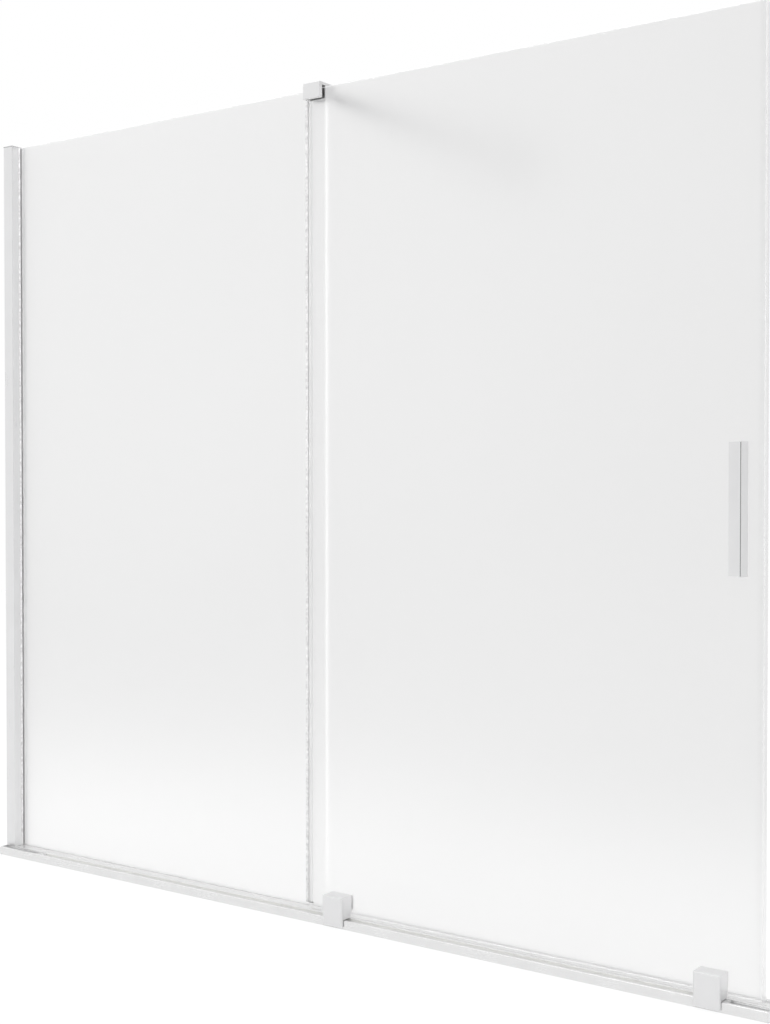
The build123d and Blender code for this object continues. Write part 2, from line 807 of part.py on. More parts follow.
# Closing seal: clips on the free edge and ends in a hollow bulb
bulb_x = sliding_right + seal_wall + bulb_radius - bulb_wall / 2
pane_middle = (sliding_front + sliding_back) / 2
with BuildPart() as closing_seal:
    with BuildSketch(Plane.XY.offset(seal_foot)):
        with BuildLine():
            Polyline(
                (sliding_right - seal_leg, leg_front),
                (sliding_right + seal_wall, leg_front),
                (sliding_right + seal_wall, leg_back),
                (sliding_right - seal_leg, leg_back),
                (sliding_right - seal_leg, sliding_back),
                (sliding_right, sliding_back),
                (sliding_right, sliding_front),
                (sliding_right - seal_leg, sliding_front),
                close=True,
            )
        make_face()
        with Locations((bulb_x, pane_middle)):
            Circle(bulb_radius)
            Circle(bulb_radius - bulb_wall, mode=Mode.SUBTRACT)
    extrude(amount=sliding_top - seal_foot)
save(closing_seal.part, "closing_seal")

# Dark rubber foot under the closing seal, against the glass edge
closing_foot = box_between(
    sliding_right,
    bulb_x + bulb_radius,
    sliding_front,
    sliding_back,
    rail_top + foot_rail_gap,
    seal_foot,
)
save(closing_foot, "closing_foot")

# Bottom wiper: a clip under the sliding glass with a lip down to the rail
wiper_top = sliding_foot + wiper_leg
wiper_base = sliding_foot - wiper_wall
bottom_wiper = strip_between(
    [
        (sliding_front - wiper_wall, wiper_top),
        (sliding_front, wiper_top),
        (sliding_front, sliding_foot),
        (sliding_back, sliding_foot),
        (sliding_back, wiper_top),
        (sliding_back + wiper_wall, wiper_top),
        (sliding_back + wiper_wall, wiper_base),
        (pane_middle + wiper_wall, wiper_base),
        (pane_middle, rail_top + wiper_gap),
        (pane_middle - wiper_wall, rail_top + wiper_gap),
        (pane_middle, wiper_base),
        (sliding_front - wiper_wall, wiper_base),
    ],
    sliding_left,
    sliding_right,
)
save(bottom_wiper, "bottom_wiper")

# Roller carriages: every piece is built once for each side
hole_space = axle_radius + axle_clearance
wheel_front = track_y - wheel_width / 2
wheel_back = track_y + wheel_width / 2
room_front = wheel_front - wheel_side_room
room_back = wheel_back + wheel_side_room
room_radius = wheel_radius + wheel_room
clamp_plate_top = carriage_top - clamp_plate_inset
for side, middle in carriage_x.items():
    fixings = (middle - carriage_screw_spacing / 2, middle + carriage_screw_spacing / 2)

    # Front cover: a plate that hangs in front of the rail as a guide lip
    with BuildPart() as carriage_cover:
        with BuildSketch(Plane.XY.offset(cover_bottom)):
            with Locations((middle, (cover_front + cover_back) / 2)):
                Rectangle(carriage_width, cover_thickness)
        extrude(amount=carriage_top - cover_bottom)
        corners = carriage_cover.edges().filter_by(Axis.Z).group_by(Axis.Y)[0]
        fillet(corners, radius=cover_corner)
        rims = carriage_cover.faces().sort_by(Axis.Z)[-1].edges().filter_by(Axis.X, reverse=True)
        rims += carriage_cover.faces().sort_by(Axis.Z)[-1].edges().sort_by(Axis.Y)[:1]
        top_rims = [e for e in rims if e.center().Y < cover_back - thread_clearance]
        chamfer(top_rims, length=carriage_edge_radius / 2)
    save(carriage_cover.part, f"carriage_cover_{side}")

    # Housing: carries the axle over the track and is bolted to the glass
    with BuildPart() as carriage_housing:
        with BuildSketch(Plane.XY.offset(carriage_foot)):
            with Locations((middle, (cover_back + housing_back) / 2)):
                Rectangle(carriage_width, housing_back - cover_back)
        extrude(amount=carriage_top - carriage_foot)
        side_rims = carriage_housing.edges().filter_by(Axis.Y).group_by(Axis.Z)[-1]
        chamfer(side_rims, length=carriage_edge_radius / 2)
        with BuildSketch(facing_front(room_back)):
            with Locations((middle, wheel_z)):
                Circle(room_radius)
            with Locations((middle, (wheel_z + carriage_foot) / 2)):
                Rectangle(2 * room_radius, wheel_z - carriage_foot)
        extrude(amount=room_back - room_front, mode=Mode.SUBTRACT)
        with BuildSketch(facing_front(housing_back)):
            with Locations((middle, wheel_z)):
                Circle(hole_space)
        extrude(amount=housing_back - cover_back, mode=Mode.SUBTRACT)
        with BuildSketch(facing_front(cover_back + axle_head_height + thread_clearance)):
            with Locations((middle, wheel_z)):
                Circle(axle_head_radius + thread_clearance)
        extrude(amount=axle_head_height + thread_clearance, mode=Mode.SUBTRACT)
        with BuildSketch(facing_front(housing_back)):
            with Locations(*[(x, carriage_screw_height) for x in fixings]):
                Circle(screw_radius + thread_clearance)
        extrude(amount=screw_grip + thread_clearance, mode=Mode.SUBTRACT)
        with BuildSketch(Plane.XY.offset(carriage_foot)):
            with Locations((middle, housing_back - wiper_relief / 2)):
                Rectangle(carriage_width, wiper_relief)
        extrude(amount=wiper_relief_top - carriage_foot, mode=Mode.SUBTRACT)
    save(carriage_housing.part, f"carriage_housing_{side}")

    # Soft pads on both faces of the glass, and the smaller clamp plate behind it
    for where, pad_y0, pad_y1, inset in (
        ("front", housing_back, sliding_front, plug_clearance),
        ("back", sliding_back, plate_front, clamp_plate_inset + plug_clearance),
    ):
        pad_top = carriage_top - inset
        with BuildPart() as carriage_pad_piece:
            with BuildSketch(facing_front(pad_y1)):
                with Locations((middle, (clamp_plate_bottom + pad_top) / 2)):
                    Rectangle(carriage_width - 2 * inset, pad_top - clamp_plate_bottom)
                with Locations(*[(x, carriage_screw_height) for x in fixings]):
                    Circle(glass_hole_radius, mode=Mode.SUBTRACT)
            extrude(amount=pad_y1 - pad_y0)
        save(carriage_pad_piece.part, f"carriage_pad_{where}_{side}")
    with BuildPart() as carriage_clamp_plate:
        with BuildSketch(facing_front(plate_back)):
            with Locations((middle, (clamp_plate_bottom + clamp_plate_top) / 2)):
                Rectangle(carriage_width - 2 * clamp_plate_inset, clamp_plate_top - clamp_plate_bottom)
        extrude(amount=clamp_plate)
        fillet(carriage_clamp_plate.edges().filter_by(Axis.Y), radius=carriage_edge_radius)
        for x in fixings:
            add(countersunk_hole(x, carriage_screw_height, plate_back, plate_front), mode=Mode.SUBTRACT)
    save(carriage_clamp_plate.part, f"carriage_clamp_plate_{side}")

    # Screws through the glass and the sleeves that keep them off it
    tip = housing_back - screw_grip
    screws = [countersunk_screw(x, carriage_screw_height, plate_back, tip) for x in fixings]
    save(Compound(children=screws), f"carriage_screws_{side}")
    with BuildPart() as carriage_bushes:
        with BuildSketch(facing_front(sliding_back)):
            with Locations(*[(x, carriage_screw_height) for x in fixings]):
                Circle(glass_hole_radius - bush_clearance)
                Circle(screw_radius + bush_clearance, mode=Mode.SUBTRACT)
        extrude(amount=glass_thickness)
    save(carriage_bushes.part, f"carriage_bushes_{side}")

    # Axle with a flat head sunk under the cover, and the spacers beside the bearing
    with BuildPart() as axle:
        with BuildSketch(facing_front(cover_back + axle_head_height)):
            with Locations((middle, wheel_z)):
                Circle(axle_head_radius)
        extrude(amount=axle_head_height)
        with BuildSketch(facing_front(housing_back - wiper_relief)):
            with Locations((middle, wheel_z)):
                Circle(axle_radius)
        extrude(amount=housing_back - wiper_relief - cover_back - axle_head_height)
    save(axle.part, f"axle_{side}")
    bearing_front = track_y - bearing_width / 2
    bearing_back = track_y + bearing_width / 2
    with BuildPart() as axle_spacers:
        for near, far in ((bearing_front - spacer_gap, room_front), (room_back, bearing_back + spacer_gap)):
            with BuildSketch(facing_front(near)):
                with Locations((middle, wheel_z)):
                    Circle(spacer_radius)
                    Circle(hole_space, mode=Mode.SUBTRACT)
            extrude(amount=near - far)
    save(axle_spacers.part, f"axle_spacers_{side}")

    # Ball bearing with its shield grooves, turning on the axle
    with BuildPart() as wheel_bearing:
        with BuildSketch(facing_front(bearing_back)):
            with Locations((middle, wheel_z)):
                Circle(bearing_radius)
                Circle(hole_space, mode=Mode.SUBTRACT)
        extrude(amount=bearing_width)
        for face_y, way in ((bearing_back, 1), (bearing_front, -1)):
            with BuildSketch(facing_front(face_y)):
                with Locations((middle, wheel_z)):
                    Circle(shield_outer)
                    Circle(shield_inner, mode=Mode.SUBTRACT)
            extrude(amount=way * shield_depth, mode=Mode.SUBTRACT)
    save(wheel_bearing.part, f"wheel_bearing_{side}")

    # Moulded tyre with a round groove that runs on the track bead
    with BuildPart() as wheel_tyre:
        with BuildSketch(facing_front(wheel_back)):
            with Locations((middle, wheel_z)):
                Circle(wheel_radius)
                Circle(bearing_radius, mode=Mode.SUBTRACT)
        extrude(amount=wheel_width)
        with BuildSketch(Plane(origin=(middle, 0, 0), x_dir=(0, 1, 0), z_dir=(1, 0, 0))):
            with Locations((track_y, bead_centre)):
                Circle(bead_radius + wheel_track_gap)
        revolve(axis=Axis((middle, 0, wheel_z), (0, 1, 0)), mode=Mode.SUBTRACT)
    save(wheel_tyre.part, f"wheel_tyre_{side}")

# Handle: a flange against the glass with an upright blade along its edge
handle_front = sliding_front - handle_reach
flange_back = sliding_front - handle_pad
flange_front = flange_back - handle_flange_thickness
with BuildPart() as handle:
    with BuildSketch(Plane.XY.offset(handle_foot)):
        with BuildLine():
            Polyline(
                (flange_left, flange_back),
                (flange_left, flange_front),
                (blade_right - handle_blade, flange_front),
                (blade_right - handle_blade, handle_front),
                (blade_right, handle_front),
                (blade_right, flange_back),
                close=True,
            )
        make_face()
    extrude(amount=handle_length)
    blade_edges = handle.edges().filter_by(Axis.Z).group_by(Axis.Y)[0]
    fillet(blade_edges, radius=handle_edge_radius)
    with BuildSketch(facing_front(flange_back)):
        with Locations(*handle_holes):
            Circle(screw_radius + thread_clearance)
    extrude(amount=handle_flange_thickness - handle_blind_wall, mode=Mode.SUBTRACT)
save(handle.part, "handle")

# Inner plate of the handle, thin enough to pass the fixed glass
back_pad_back = sliding_back + handle_pad
back_plate_back = back_pad_back + handle_back_plate
with BuildPart() as handle_back_plate_piece:
    with BuildSketch(facing_front(back_plate_back)):
        with Locations((handle_screw_x, handle_centre)):
            Rectangle(handle_back_plate_width, handle_length)
    extrude(amount=handle_back_plate)
    fillet(handle_back_plate_piece.edges().filter_by(Axis.Y), radius=carriage_edge_radius)
    for x, z in handle_holes:
        add(countersunk_hole(x, z, back_plate_back, back_pad_back), mode=Mode.SUBTRACT)
save(handle_back_plate_piece.part, "handle_back_plate")

for where, pad_y, pad_x, pad_width in (
    ("front", sliding_front, (flange_left + blade_right) / 2, handle_flange),
    ("back", back_pad_back, handle_screw_x, handle_back_plate_width),
):
    with BuildPart() as handle_pad_piece:
        with BuildSketch(facing_front(pad_y)):
            with Locations((pad_x, handle_centre)):
                Rectangle(pad_width - 2 * handle_pad, handle_length - 2 * handle_pad)
            with Locations(*handle_holes):
                Circle(glass_hole_radius, mode=Mode.SUBTRACT)
        extrude(amount=handle_pad)
    save(handle_pad_piece.part, f"handle_pad_{where}")

handle_tip = flange_front + handle_blind_wall
handle_screws = [countersunk_screw(x, z, back_plate_back, handle_tip) for x, z in handle_holes]
save(Compound(children=handle_screws), "handle_screws")
with BuildPart() as handle_bushes:
    with BuildSketch(facing_front(sliding_back)):
        with Locations(*handle_holes):
            Circle(glass_hole_radius - bush_clearance)
            Circle(screw_radius + bush_clearance, mode=Mode.SUBTRACT)
    extrude(amount=glass_thickness)
save(handle_bushes.part, "handle_bushes")
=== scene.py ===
"""Looks of a sliding bath screen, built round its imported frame.

The frame gives every piece its place and size in metres. This script gives the pieces their
finishes, eases the edges of the metal and plastic ones, and makes the soft seals, the wheels and
the screws as meshes of their own. It ends with the studio and the camera.
"""

import logging
import math
from collections.abc import Callable, Sequence
from dataclasses import dataclass, field
from enum import Enum

import bmesh
import bpy
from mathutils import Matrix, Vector


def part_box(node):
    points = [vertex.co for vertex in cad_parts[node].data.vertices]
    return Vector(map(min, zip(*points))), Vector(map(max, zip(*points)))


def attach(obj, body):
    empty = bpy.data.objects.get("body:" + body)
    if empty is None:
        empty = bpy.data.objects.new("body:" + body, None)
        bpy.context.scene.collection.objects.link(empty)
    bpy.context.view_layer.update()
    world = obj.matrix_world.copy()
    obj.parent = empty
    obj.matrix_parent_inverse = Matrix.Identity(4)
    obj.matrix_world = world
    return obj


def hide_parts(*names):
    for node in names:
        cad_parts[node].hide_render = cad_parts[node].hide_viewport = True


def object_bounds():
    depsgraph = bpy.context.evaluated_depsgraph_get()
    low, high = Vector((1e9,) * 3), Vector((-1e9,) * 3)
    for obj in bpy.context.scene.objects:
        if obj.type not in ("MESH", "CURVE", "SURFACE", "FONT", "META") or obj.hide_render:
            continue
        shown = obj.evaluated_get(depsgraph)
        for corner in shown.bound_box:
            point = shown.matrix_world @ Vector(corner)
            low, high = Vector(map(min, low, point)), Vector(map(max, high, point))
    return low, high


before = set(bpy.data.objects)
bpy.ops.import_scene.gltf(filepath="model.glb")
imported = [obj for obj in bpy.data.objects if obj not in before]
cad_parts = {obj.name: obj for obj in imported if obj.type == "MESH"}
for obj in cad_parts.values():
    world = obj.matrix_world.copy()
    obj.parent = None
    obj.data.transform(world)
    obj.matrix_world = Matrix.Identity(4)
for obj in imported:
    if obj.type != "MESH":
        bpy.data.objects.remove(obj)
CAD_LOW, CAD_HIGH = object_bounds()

MM = 0.001
SOFT_SLACK = 0.05 * MM
WELD = 0.001 * MM
FLAT_WITHIN = math.radians(0.4)
EASED_FROM = math.radians(38)
SHARP_FROM = math.radians(32)
LOG = logging.getLogger("bath_screen")
Colour = tuple[float, float, float]
Outline = list[tuple[float, float]]
RadiusAt = Callable[[float], float]
Value = bpy.types.NodeSocket | float


class Body(Enum):
    """The bodies of the frame that pieces ride on."""

    SCREEN = "screen_frame"
    PANEL = "sliding_panel"
    WHEEL_LEFT = "wheel_left"
    WHEEL_RIGHT = "wheel_right"


class Side(Enum):
    """The two ends of the sliding pane."""

    LEFT = "left"
    RIGHT = "right"


class Run(Enum):
    """The direction that a profile is drawn along, as an axis number."""

    ALONG_RAIL = 0
    THROUGH_GLASS = 1
    UPRIGHT = 2


class Nodes:
    """A node tree with one method for each kind of node that finishes and studio share."""

    def __init__(self, tree: bpy.types.NodeTree) -> None:
        """Take up a tree.

        Args:
            tree: the node tree that the nodes go into.
        """
        self.tree = tree

    def add(self, kind: str, **values: object) -> bpy.types.Node:
        """Add a node and set uniform values on its sockets.

        Args:
            kind: the node's type.
            values: socket names in snake case, and their values.

        Returns:
            The node.
        """
        node = self.tree.nodes.new(kind)
        for name, value in values.items():
            node.inputs[name.replace("_", " ").title()].default_value = value
        return node

    def feed(self, value: Value, socket: bpy.types.NodeSocket) -> None:
        """Give a socket its value.

        Args:
            value: a number, or the output to link.
            socket: the socket that takes it.
        """
        if isinstance(value, float):
            socket.default_value = value
        else:
            self.tree.links.new(value, socket)

    def remap(
        self,
        source: bpy.types.NodeSocket,
        low: float,
        high: float,
        start: float = 0.3,
        end: float = 0.7,
        kind: str = "LINEAR",
    ) -> bpy.types.NodeSocket:
        """Map a value's range to another.

        Args:
            source: the value.
            low: the result at start and below.
            high: the result at end and above.
            start: the lowest value that matters.
            end: the highest value that matters.
            kind: the name of the curve between them.

        Returns:
            The mapped value.
        """
        node = self.add("ShaderNodeMapRange", from_min=start, from_max=end, to_min=low, to_max=high)
        node.interpolation_type = kind
        self.feed(source, node.inputs["Value"])
        return node.outputs["Result"]

    def combine(self, operation: str, first: Value, second: Value) -> bpy.types.NodeSocket:
        """Do arithmetic on two values.

        Args:
            operation: the name of the operation.
            first: the first value.
            second: the second value.

        Returns:
            The result.
        """
        node = self.add("ShaderNodeMath")
        node.operation = operation
        for value, socket in zip((first, second), node.inputs):
            self.feed(value, socket)
        return node.outputs["Value"]

    def choice(self, switch: bpy.types.NodeSocket, off: Value, on: Value) -> bpy.types.NodeSocket:
        """Pick one of two values.

        Args:
            switch: 0 or 1.
            off: the value at 0.
            on: the value at 1.

        Returns:
            The picked value.
        """
        node = self.add("ShaderNodeMix")
        for value, name in ((switch, "Factor"), (off, "A"), (on, "B")):
            self.feed(value, node.inputs[name])
        return node.outputs["Result"]

    def parts(self, vector: bpy.types.NodeSocket) -> Sequence[bpy.types.NodeSocket]:
        """Split a vector.

        Args:
            vector: the vector.

        Returns:
            Its X, Y and Z.
        """
        node = self.add("ShaderNodeSeparateXYZ")
        self.feed(vector, node.inputs["Vector"])
        return node.outputs

    def white_light(self, kind: str, strength: Value) -> bpy.types.NodeSocket:
        """Add a white background or emission.

        Args:
            kind: the node's type.
            strength: its strength.

        Returns:
            Its shader.
        """
        node = self.add(kind, color=(1, 1, 1, 1))
        self.feed(strength, node.inputs["Strength"])
        return node.outputs[0]

    def layered(
        self, share: bpy.types.NodeSocket, below: bpy.types.NodeSocket, above: bpy.types.NodeSocket
    ) -> bpy.types.NodeSocket:
        """Blend two shaders.

        Args:
            share: how much of the second one shows.
            below: the first shader.
            above: the second shader.

        Returns:
            The blend.
        """
        node = self.add("ShaderNodeMixShader")
        for source, socket in zip((share, below, above), node.inputs):
            self.feed(source, socket)
        return node.outputs["Shader"]


class Shader(Nodes):
    """A new material with one principled surface."""

    def __init__(self, name: str) -> None:
        """Start a material.

        Args:
            name: the material's name.
        """
        self.material = bpy.data.materials.new(name)
        self.material.use_nodes = True
        super().__init__(self.material.node_tree)
        self.surface = self.tree.nodes["Principled BSDF"]
        self.place = self.add("ShaderNodeTexCoord").outputs["Object"]

    def set(self, **values: object) -> None:
        """Set uniform values on the surface's own sockets.

        Args:
            values: socket names in snake case, and their values.
        """
        for name, value in values.items():
            socket = name.replace("_", " ").title().replace("Ior", "IOR")
            self.surface.inputs[socket].default_value = value

    def join(self, source: bpy.types.NodeSocket, socket: str) -> None:
        """Link an output to one of the surface's sockets.

        Args:
            source: the output.
            socket: the name of the surface's socket.
        """
        self.feed(source, self.surface.inputs[socket])

    def noise(
        self, scale: float, detail: float, stretch: Sequence[float] = (1, 1, 1)
    ) -> bpy.types.NodeSocket:
        """Add a noise texture.

        Args:
            scale: features per metre.
            detail: octaves.
            stretch: the scale along X, Y and Z, small along a grain.

        Returns:
            The noise value, about 0.3 to 0.7.
        """
        mapping = self.add("ShaderNodeMapping", scale=stretch)
        self.feed(self.place, mapping.inputs["Vector"])
        node = self.add("ShaderNodeTexNoise", scale=scale, detail=detail)
        self.feed(mapping.outputs["Vector"], node.inputs["Vector"])
        return node.outputs["Fac"]

    def colour(self, source: bpy.types.NodeSocket, tone: Colour, low: float, high: float = 1.0) -> None:
        """Colour the surface a little unevenly.

        Args:
            source: the noise that makes it uneven.
            tone: the colour.
            low: what the colour is multiplied by where the noise is low.
            high: what it is multiplied by where the noise is high.
        """
        node = self.add("ShaderNodeMix")
        node.data_type = "RGBA"
        for name, share in (("A", low), ("B", high)):
            node.inputs[name].default_value = (*(part * share for part in tone), 1)
        self.feed(self.remap(source, 0.0, 1.0), node.inputs["Factor"])
        self.join(node.outputs["Result"], "Base Color")

    def roughen(self, source: bpy.types.NodeSocket, roughness: float, spread: float) -> None:
        """Set the surface's roughness, a little uneven.

        Args:
            source: the noise that makes it uneven.
            roughness: the middle value.
            spread: how far it goes to each side.
        """
        self.join(self.remap(source, roughness - spread, roughness + spread), "Roughness")

    def facing(self, run: Run) -> bpy.types.NodeSocket:
        """Tell the faces that look along an axis from the others.

        Args:
            run: the axis.

        Returns:
            1 on faces square to the axis and 0 on faces along it.
        """
        normal = self.add("ShaderNodeNewGeometry").outputs["Normal"]
        return self.combine("ABSOLUTE", self.parts(normal)[run.value], 0.0)

    def bump(self, height: bpy.types.NodeSocket, depth: float, strength: float) -> None:
        """Give the surface a fine relief.

        Args:
            height: the relief, from 0 to 1.
            depth: its depth in metres.
            strength: how much of it shows.
        """
        node = self.add("ShaderNodeBump", distance=depth, strength=strength)
        self.feed(height, node.inputs["Height"])
        self.join(node.outputs["Normal"], "Normal")


@dataclass(frozen=True)
class Finish:
    """A named finish. Its material is made once and shared."""

    name: str
    slot: str

    def material(self) -> bpy.types.Material:
        """Give the finish's material, which is made at its first use.

        Returns:
            The material.
        """
        found = bpy.data.materials.get(self.name)
        if found is None:
            shader = Shader(self.name)
            self.paint(shader)
            found = shader.material
        return found

    def paint(self, shader: Shader) -> None:
        """Fill the shader; each kind of finish does this in its own way."""
        raise NotImplementedError


@dataclass(frozen=True)
class SatinGlass(Finish):
    """Etched safety glass: frosted faces and polished edges."""

    tone: float = 0.998
    ior: float = 1.2
    face_roughness: float = 0.52
    edge_roughness: float = 0.3
    edge_clearness: float = 0.3
    # strength of the painted glow, a white emission, on the narrow edges
    painted_edge_glow: float = 0.24
    edge_below: float = 0.3
    face_above: float = 0.9
    cloud_scale: float = 2.2
    cloud_tone: float = 0.992
    uneven_scale: float = 35.0
    uneven: float = 0.015
    grain: float = 2600.0
    grain_depth: float = 0.01 * MM
    grain_strength: float = 0.25

    def paint(self, shader: Shader) -> None:
        """Frost the two faces, and give the narrow edges a painted glow, a white emission that makes them
        read bright.

        Args:
            shader: the material to fill.
        """
        shader.set(ior=self.ior, emission_color=(1, 1, 1, 1))
        across = shader.facing(Run.THROUGH_GLASS)
        turn = (self.edge_below, self.face_above)
        shader.join(shader.remap(across, self.edge_clearness, 1.0, *turn), "Transmission Weight")
        # painted glow: the edges emit white light of their own so that they look bright
        shader.join(shader.remap(across, self.painted_edge_glow, 0.0, *turn), "Emission Strength")
        light = (self.tone, self.tone, self.tone)
        shader.colour(shader.noise(self.cloud_scale, detail=3.0), light, self.cloud_tone)
        frost = shader.remap(across, self.edge_roughness, self.face_roughness, *turn)
        uneven = shader.remap(shader.noise(self.uneven_scale, detail=4.0), -self.uneven, self.uneven)
        shader.join(shader.combine("ADD", frost, uneven), "Roughness")
        shader.bump(shader.noise(self.grain, detail=2.0), self.grain_depth, self.grain_strength)


@dataclass(frozen=True)
class BrightMetal(Finish):
    """Plated or anodised metal with faint lines along its length."""

    tone: Colour = (0.865, 0.865, 0.87)
    roughness: float = 0.2
    lines: Run = Run.ALONG_RAIL
    line_scale: float = 1400.0
    line_stretch: float = 0.012
    line_spread: float = 0.03
    relief: float = 0.004 * MM
    relief_strength: float = 0.5
    metallic: float = 0.76
    cloud_scale: float = 18.0
    cloud_tone: float = 0.965
    worn_share: float = 0.15

    def paint(self, shader: Shader) -> None:
        """Draw the lines of the tool and a faint cloudiness of the plating.

        Args:
            shader: the material to fill.
        """
        shader.set(metallic=self.metallic)
        stretch = [1.0, 1.0, 1.0]
        stretch[self.lines.value] = self.line_stretch
        lines = shader.noise(self.line_scale, detail=3.0, stretch=stretch)
        cloud = shader.noise(self.cloud_scale, detail=4.0)
        shader.colour(cloud, self.tone, self.cloud_tone)
        smooth = self.roughness * (1 - self.worn_share)
        worn = shader.remap(cloud, smooth, self.roughness * (1 + self.worn_share))
        streak = shader.remap(lines, -self.line_spread, self.line_spread)
        shader.join(shader.combine("ADD", worn, streak), "Roughness")
        shader.bump(lines, self.relief, self.relief_strength)


@dataclass(frozen=True)
class SoftVinyl(Finish):
    """Translucent seal material."""

    tone: Colour = (0.995, 0.995, 0.995)
    transmission: float = 1.0
    ior: float = 1.08
    roughness: float = 0.38
    roughness_spread: float = 0.05
    milk_scale: float = 60.0
    milk_tone: float = 0.99
    die_lines: float = 900.0
    line_stretch: float = 0.02
    line_depth: float = 0.01 * MM
    line_strength: float = 0.4

    def paint(self, shader: Shader) -> None:
        """Make a milky, slightly uneven plastic with faint die lines.

        Args:
            shader: the material to fill.
        """
        shader.set(transmission_weight=self.transmission, ior=self.ior)
        milk = shader.noise(self.milk_scale, detail=3.0)
        shader.colour(milk, self.tone, self.milk_tone)
        shader.roughen(milk, self.roughness, self.roughness_spread)
        lines = shader.noise(self.die_lines, detail=2.0, stretch=(1, 1, self.line_stretch))
        shader.bump(lines, self.line_depth, self.line_strength)


@dataclass(frozen=True)
class Rubber(Finish):
    """Matt rubber."""

    tone: Colour = (0.17, 0.17, 0.172)
    roughness: float = 0.62
    roughness_spread: float = 0.08
    dust_scale: float = 140.0
    dust_tone: float = 1.5
    pits: float = 3000.0
    pit_depth: float = 0.02 * MM
    pit_strength: float = 0.35

    def paint(self, shader: Shader) -> None:
        """Make a dusty, slightly pitted surface.

        Args:
            shader: the material to fill.
        """
        dust = shader.noise(self.dust_scale, detail=5.0)
        shader.colour(dust, self.tone, 1.0, self.dust_tone)
        shader.roughen(dust, self.roughness, self.roughness_spread)
        shader.bump(shader.noise(self.pits, detail=2.0), self.pit_depth, self.pit_strength)


@dataclass(frozen=True)
class MouldedPlastic(Finish):
    """Moulded plastic with a fine spark-eroded grain."""

    tone: Colour = (0.5, 0.5, 0.505)
    roughness: float = 0.42
    roughness_spread: float = 0.04
    flow_scale: float = 30.0
    flow_tone: float = 0.95
    grain: float = 2200.0
    grain_depth: float = 0.02 * MM
    grain_strength: float = 0.3

    def paint(self, shader: Shader) -> None:
        """Add the grain of the mould and faint flow marks.

        Args:
            shader: the material to fill.
        """
        flow = shader.noise(self.flow_scale, detail=3.0)
        shader.colour(flow, self.tone, self.flow_tone)
        shader.roughen(flow, self.roughness, self.roughness_spread)
        shader.bump(shader.noise(self.grain, detail=2.0), self.grain_depth, self.grain_strength)


GLASS = SatinGlass("satin_etched_glass", "satin_glass")
RAIL_METAL = BrightMetal(
    "polished_rail_extrusion", "polished_aluminium", tone=(0.89, 0.89, 0.892), roughness=0.24
)
PROFILE_METAL = BrightMetal(
    "polished_wall_extrusion", "polished_aluminium", roughness=0.34, lines=Run.UPRIGHT
)
MILL_METAL = BrightMetal(
    "mill_finish_extrusion", "mill_aluminium", tone=(0.6, 0.61, 0.62), roughness=0.38, lines=Run.UPRIGHT
)
PLATE = BrightMetal("satin_chrome_plate", "chrome", roughness=0.36, lines=Run.UPRIGHT, relief=0.002 * MM)
ARM_PLATE = BrightMetal(
    "satin_chrome_tube",
    "chrome",
    tone=(0.58, 0.58, 0.585),
    roughness=0.25,
    lines=Run.THROUGH_GLASS,
    metallic=1.0,
)
STEEL = BrightMetal(
    "turned_stainless_steel", "steel", tone=(0.6, 0.6, 0.61), roughness=0.3, lines=Run.THROUGH_GLASS
)
VINYL = SoftVinyl("clear_vinyl_seal", "clear_seal")
WHITE_VINYL = SoftVinyl("white_vinyl_seal", "clear_seal", transmission=0.0)
RUBBER = Rubber("dark_rubber", "dark_rubber")
GASKET = Rubber("grey_gasket", "dark_rubber", tone=(0.68, 0.68, 0.682))
STOP_NYLON = MouldedPlastic("grey_stop_nylon", "dark_nylon", tone=(0.6, 0.6, 0.602))
GREY_LIP = Rubber("soft_grey_lip", "clear_seal", tone=(0.63, 0.63, 0.632), roughness=0.5)
GREY_PLASTIC = MouldedPlastic("grey_moulding", "grey_plastic")
WHITE_NYLON = MouldedPlastic("white_nylon", "white_nylon", tone=(0.94, 0.94, 0.942), roughness=0.36)
DARK_NYLON = MouldedPlastic("dark_nylon", "dark_nylon", tone=(0.2, 0.2, 0.202), roughness=0.4)


def dress(node: str, finish: Finish) -> None:
    """Give a node of the frame its finish.

    Args:
        node: the node's name.
        finish: the finish that goes into its material slots.
    """
    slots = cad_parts[node].data.materials
    if not slots:
        slots.append(finish.material())
    for index in range(len(slots)):
        slots[index] = finish.material()
    LOG.info("dressed %s with %s", node, finish.name)


def settle(
    mesh: bpy.types.Mesh, name: str, finish: Finish, body: Body, nodes: Sequence[str]
) -> bpy.types.Object:
    """Make a finished mesh a piece of the screen.

    Args:
        mesh: the mesh, with its place in its vertices.
        name: the piece's name.
        finish: its finish.
        body: the body that it rides on.
        nodes: the nodes of the frame that it stands for.

    Returns:
        The new object.
    """
    mesh.materials.clear()
    mesh.materials.append(finish.material())
    mesh.polygons.foreach_set("use_smooth", [True] * len(mesh.polygons))
    mesh.set_sharp_from_angle(angle=SHARP_FROM)
    piece = bpy.data.objects.new(name, mesh)
    bpy.context.scene.collection.objects.link(piece)
    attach(piece, body.value)
    if nodes:
        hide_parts(*nodes)
    LOG.info("built %s, %d faces", name, len(mesh.polygons))
    return piece


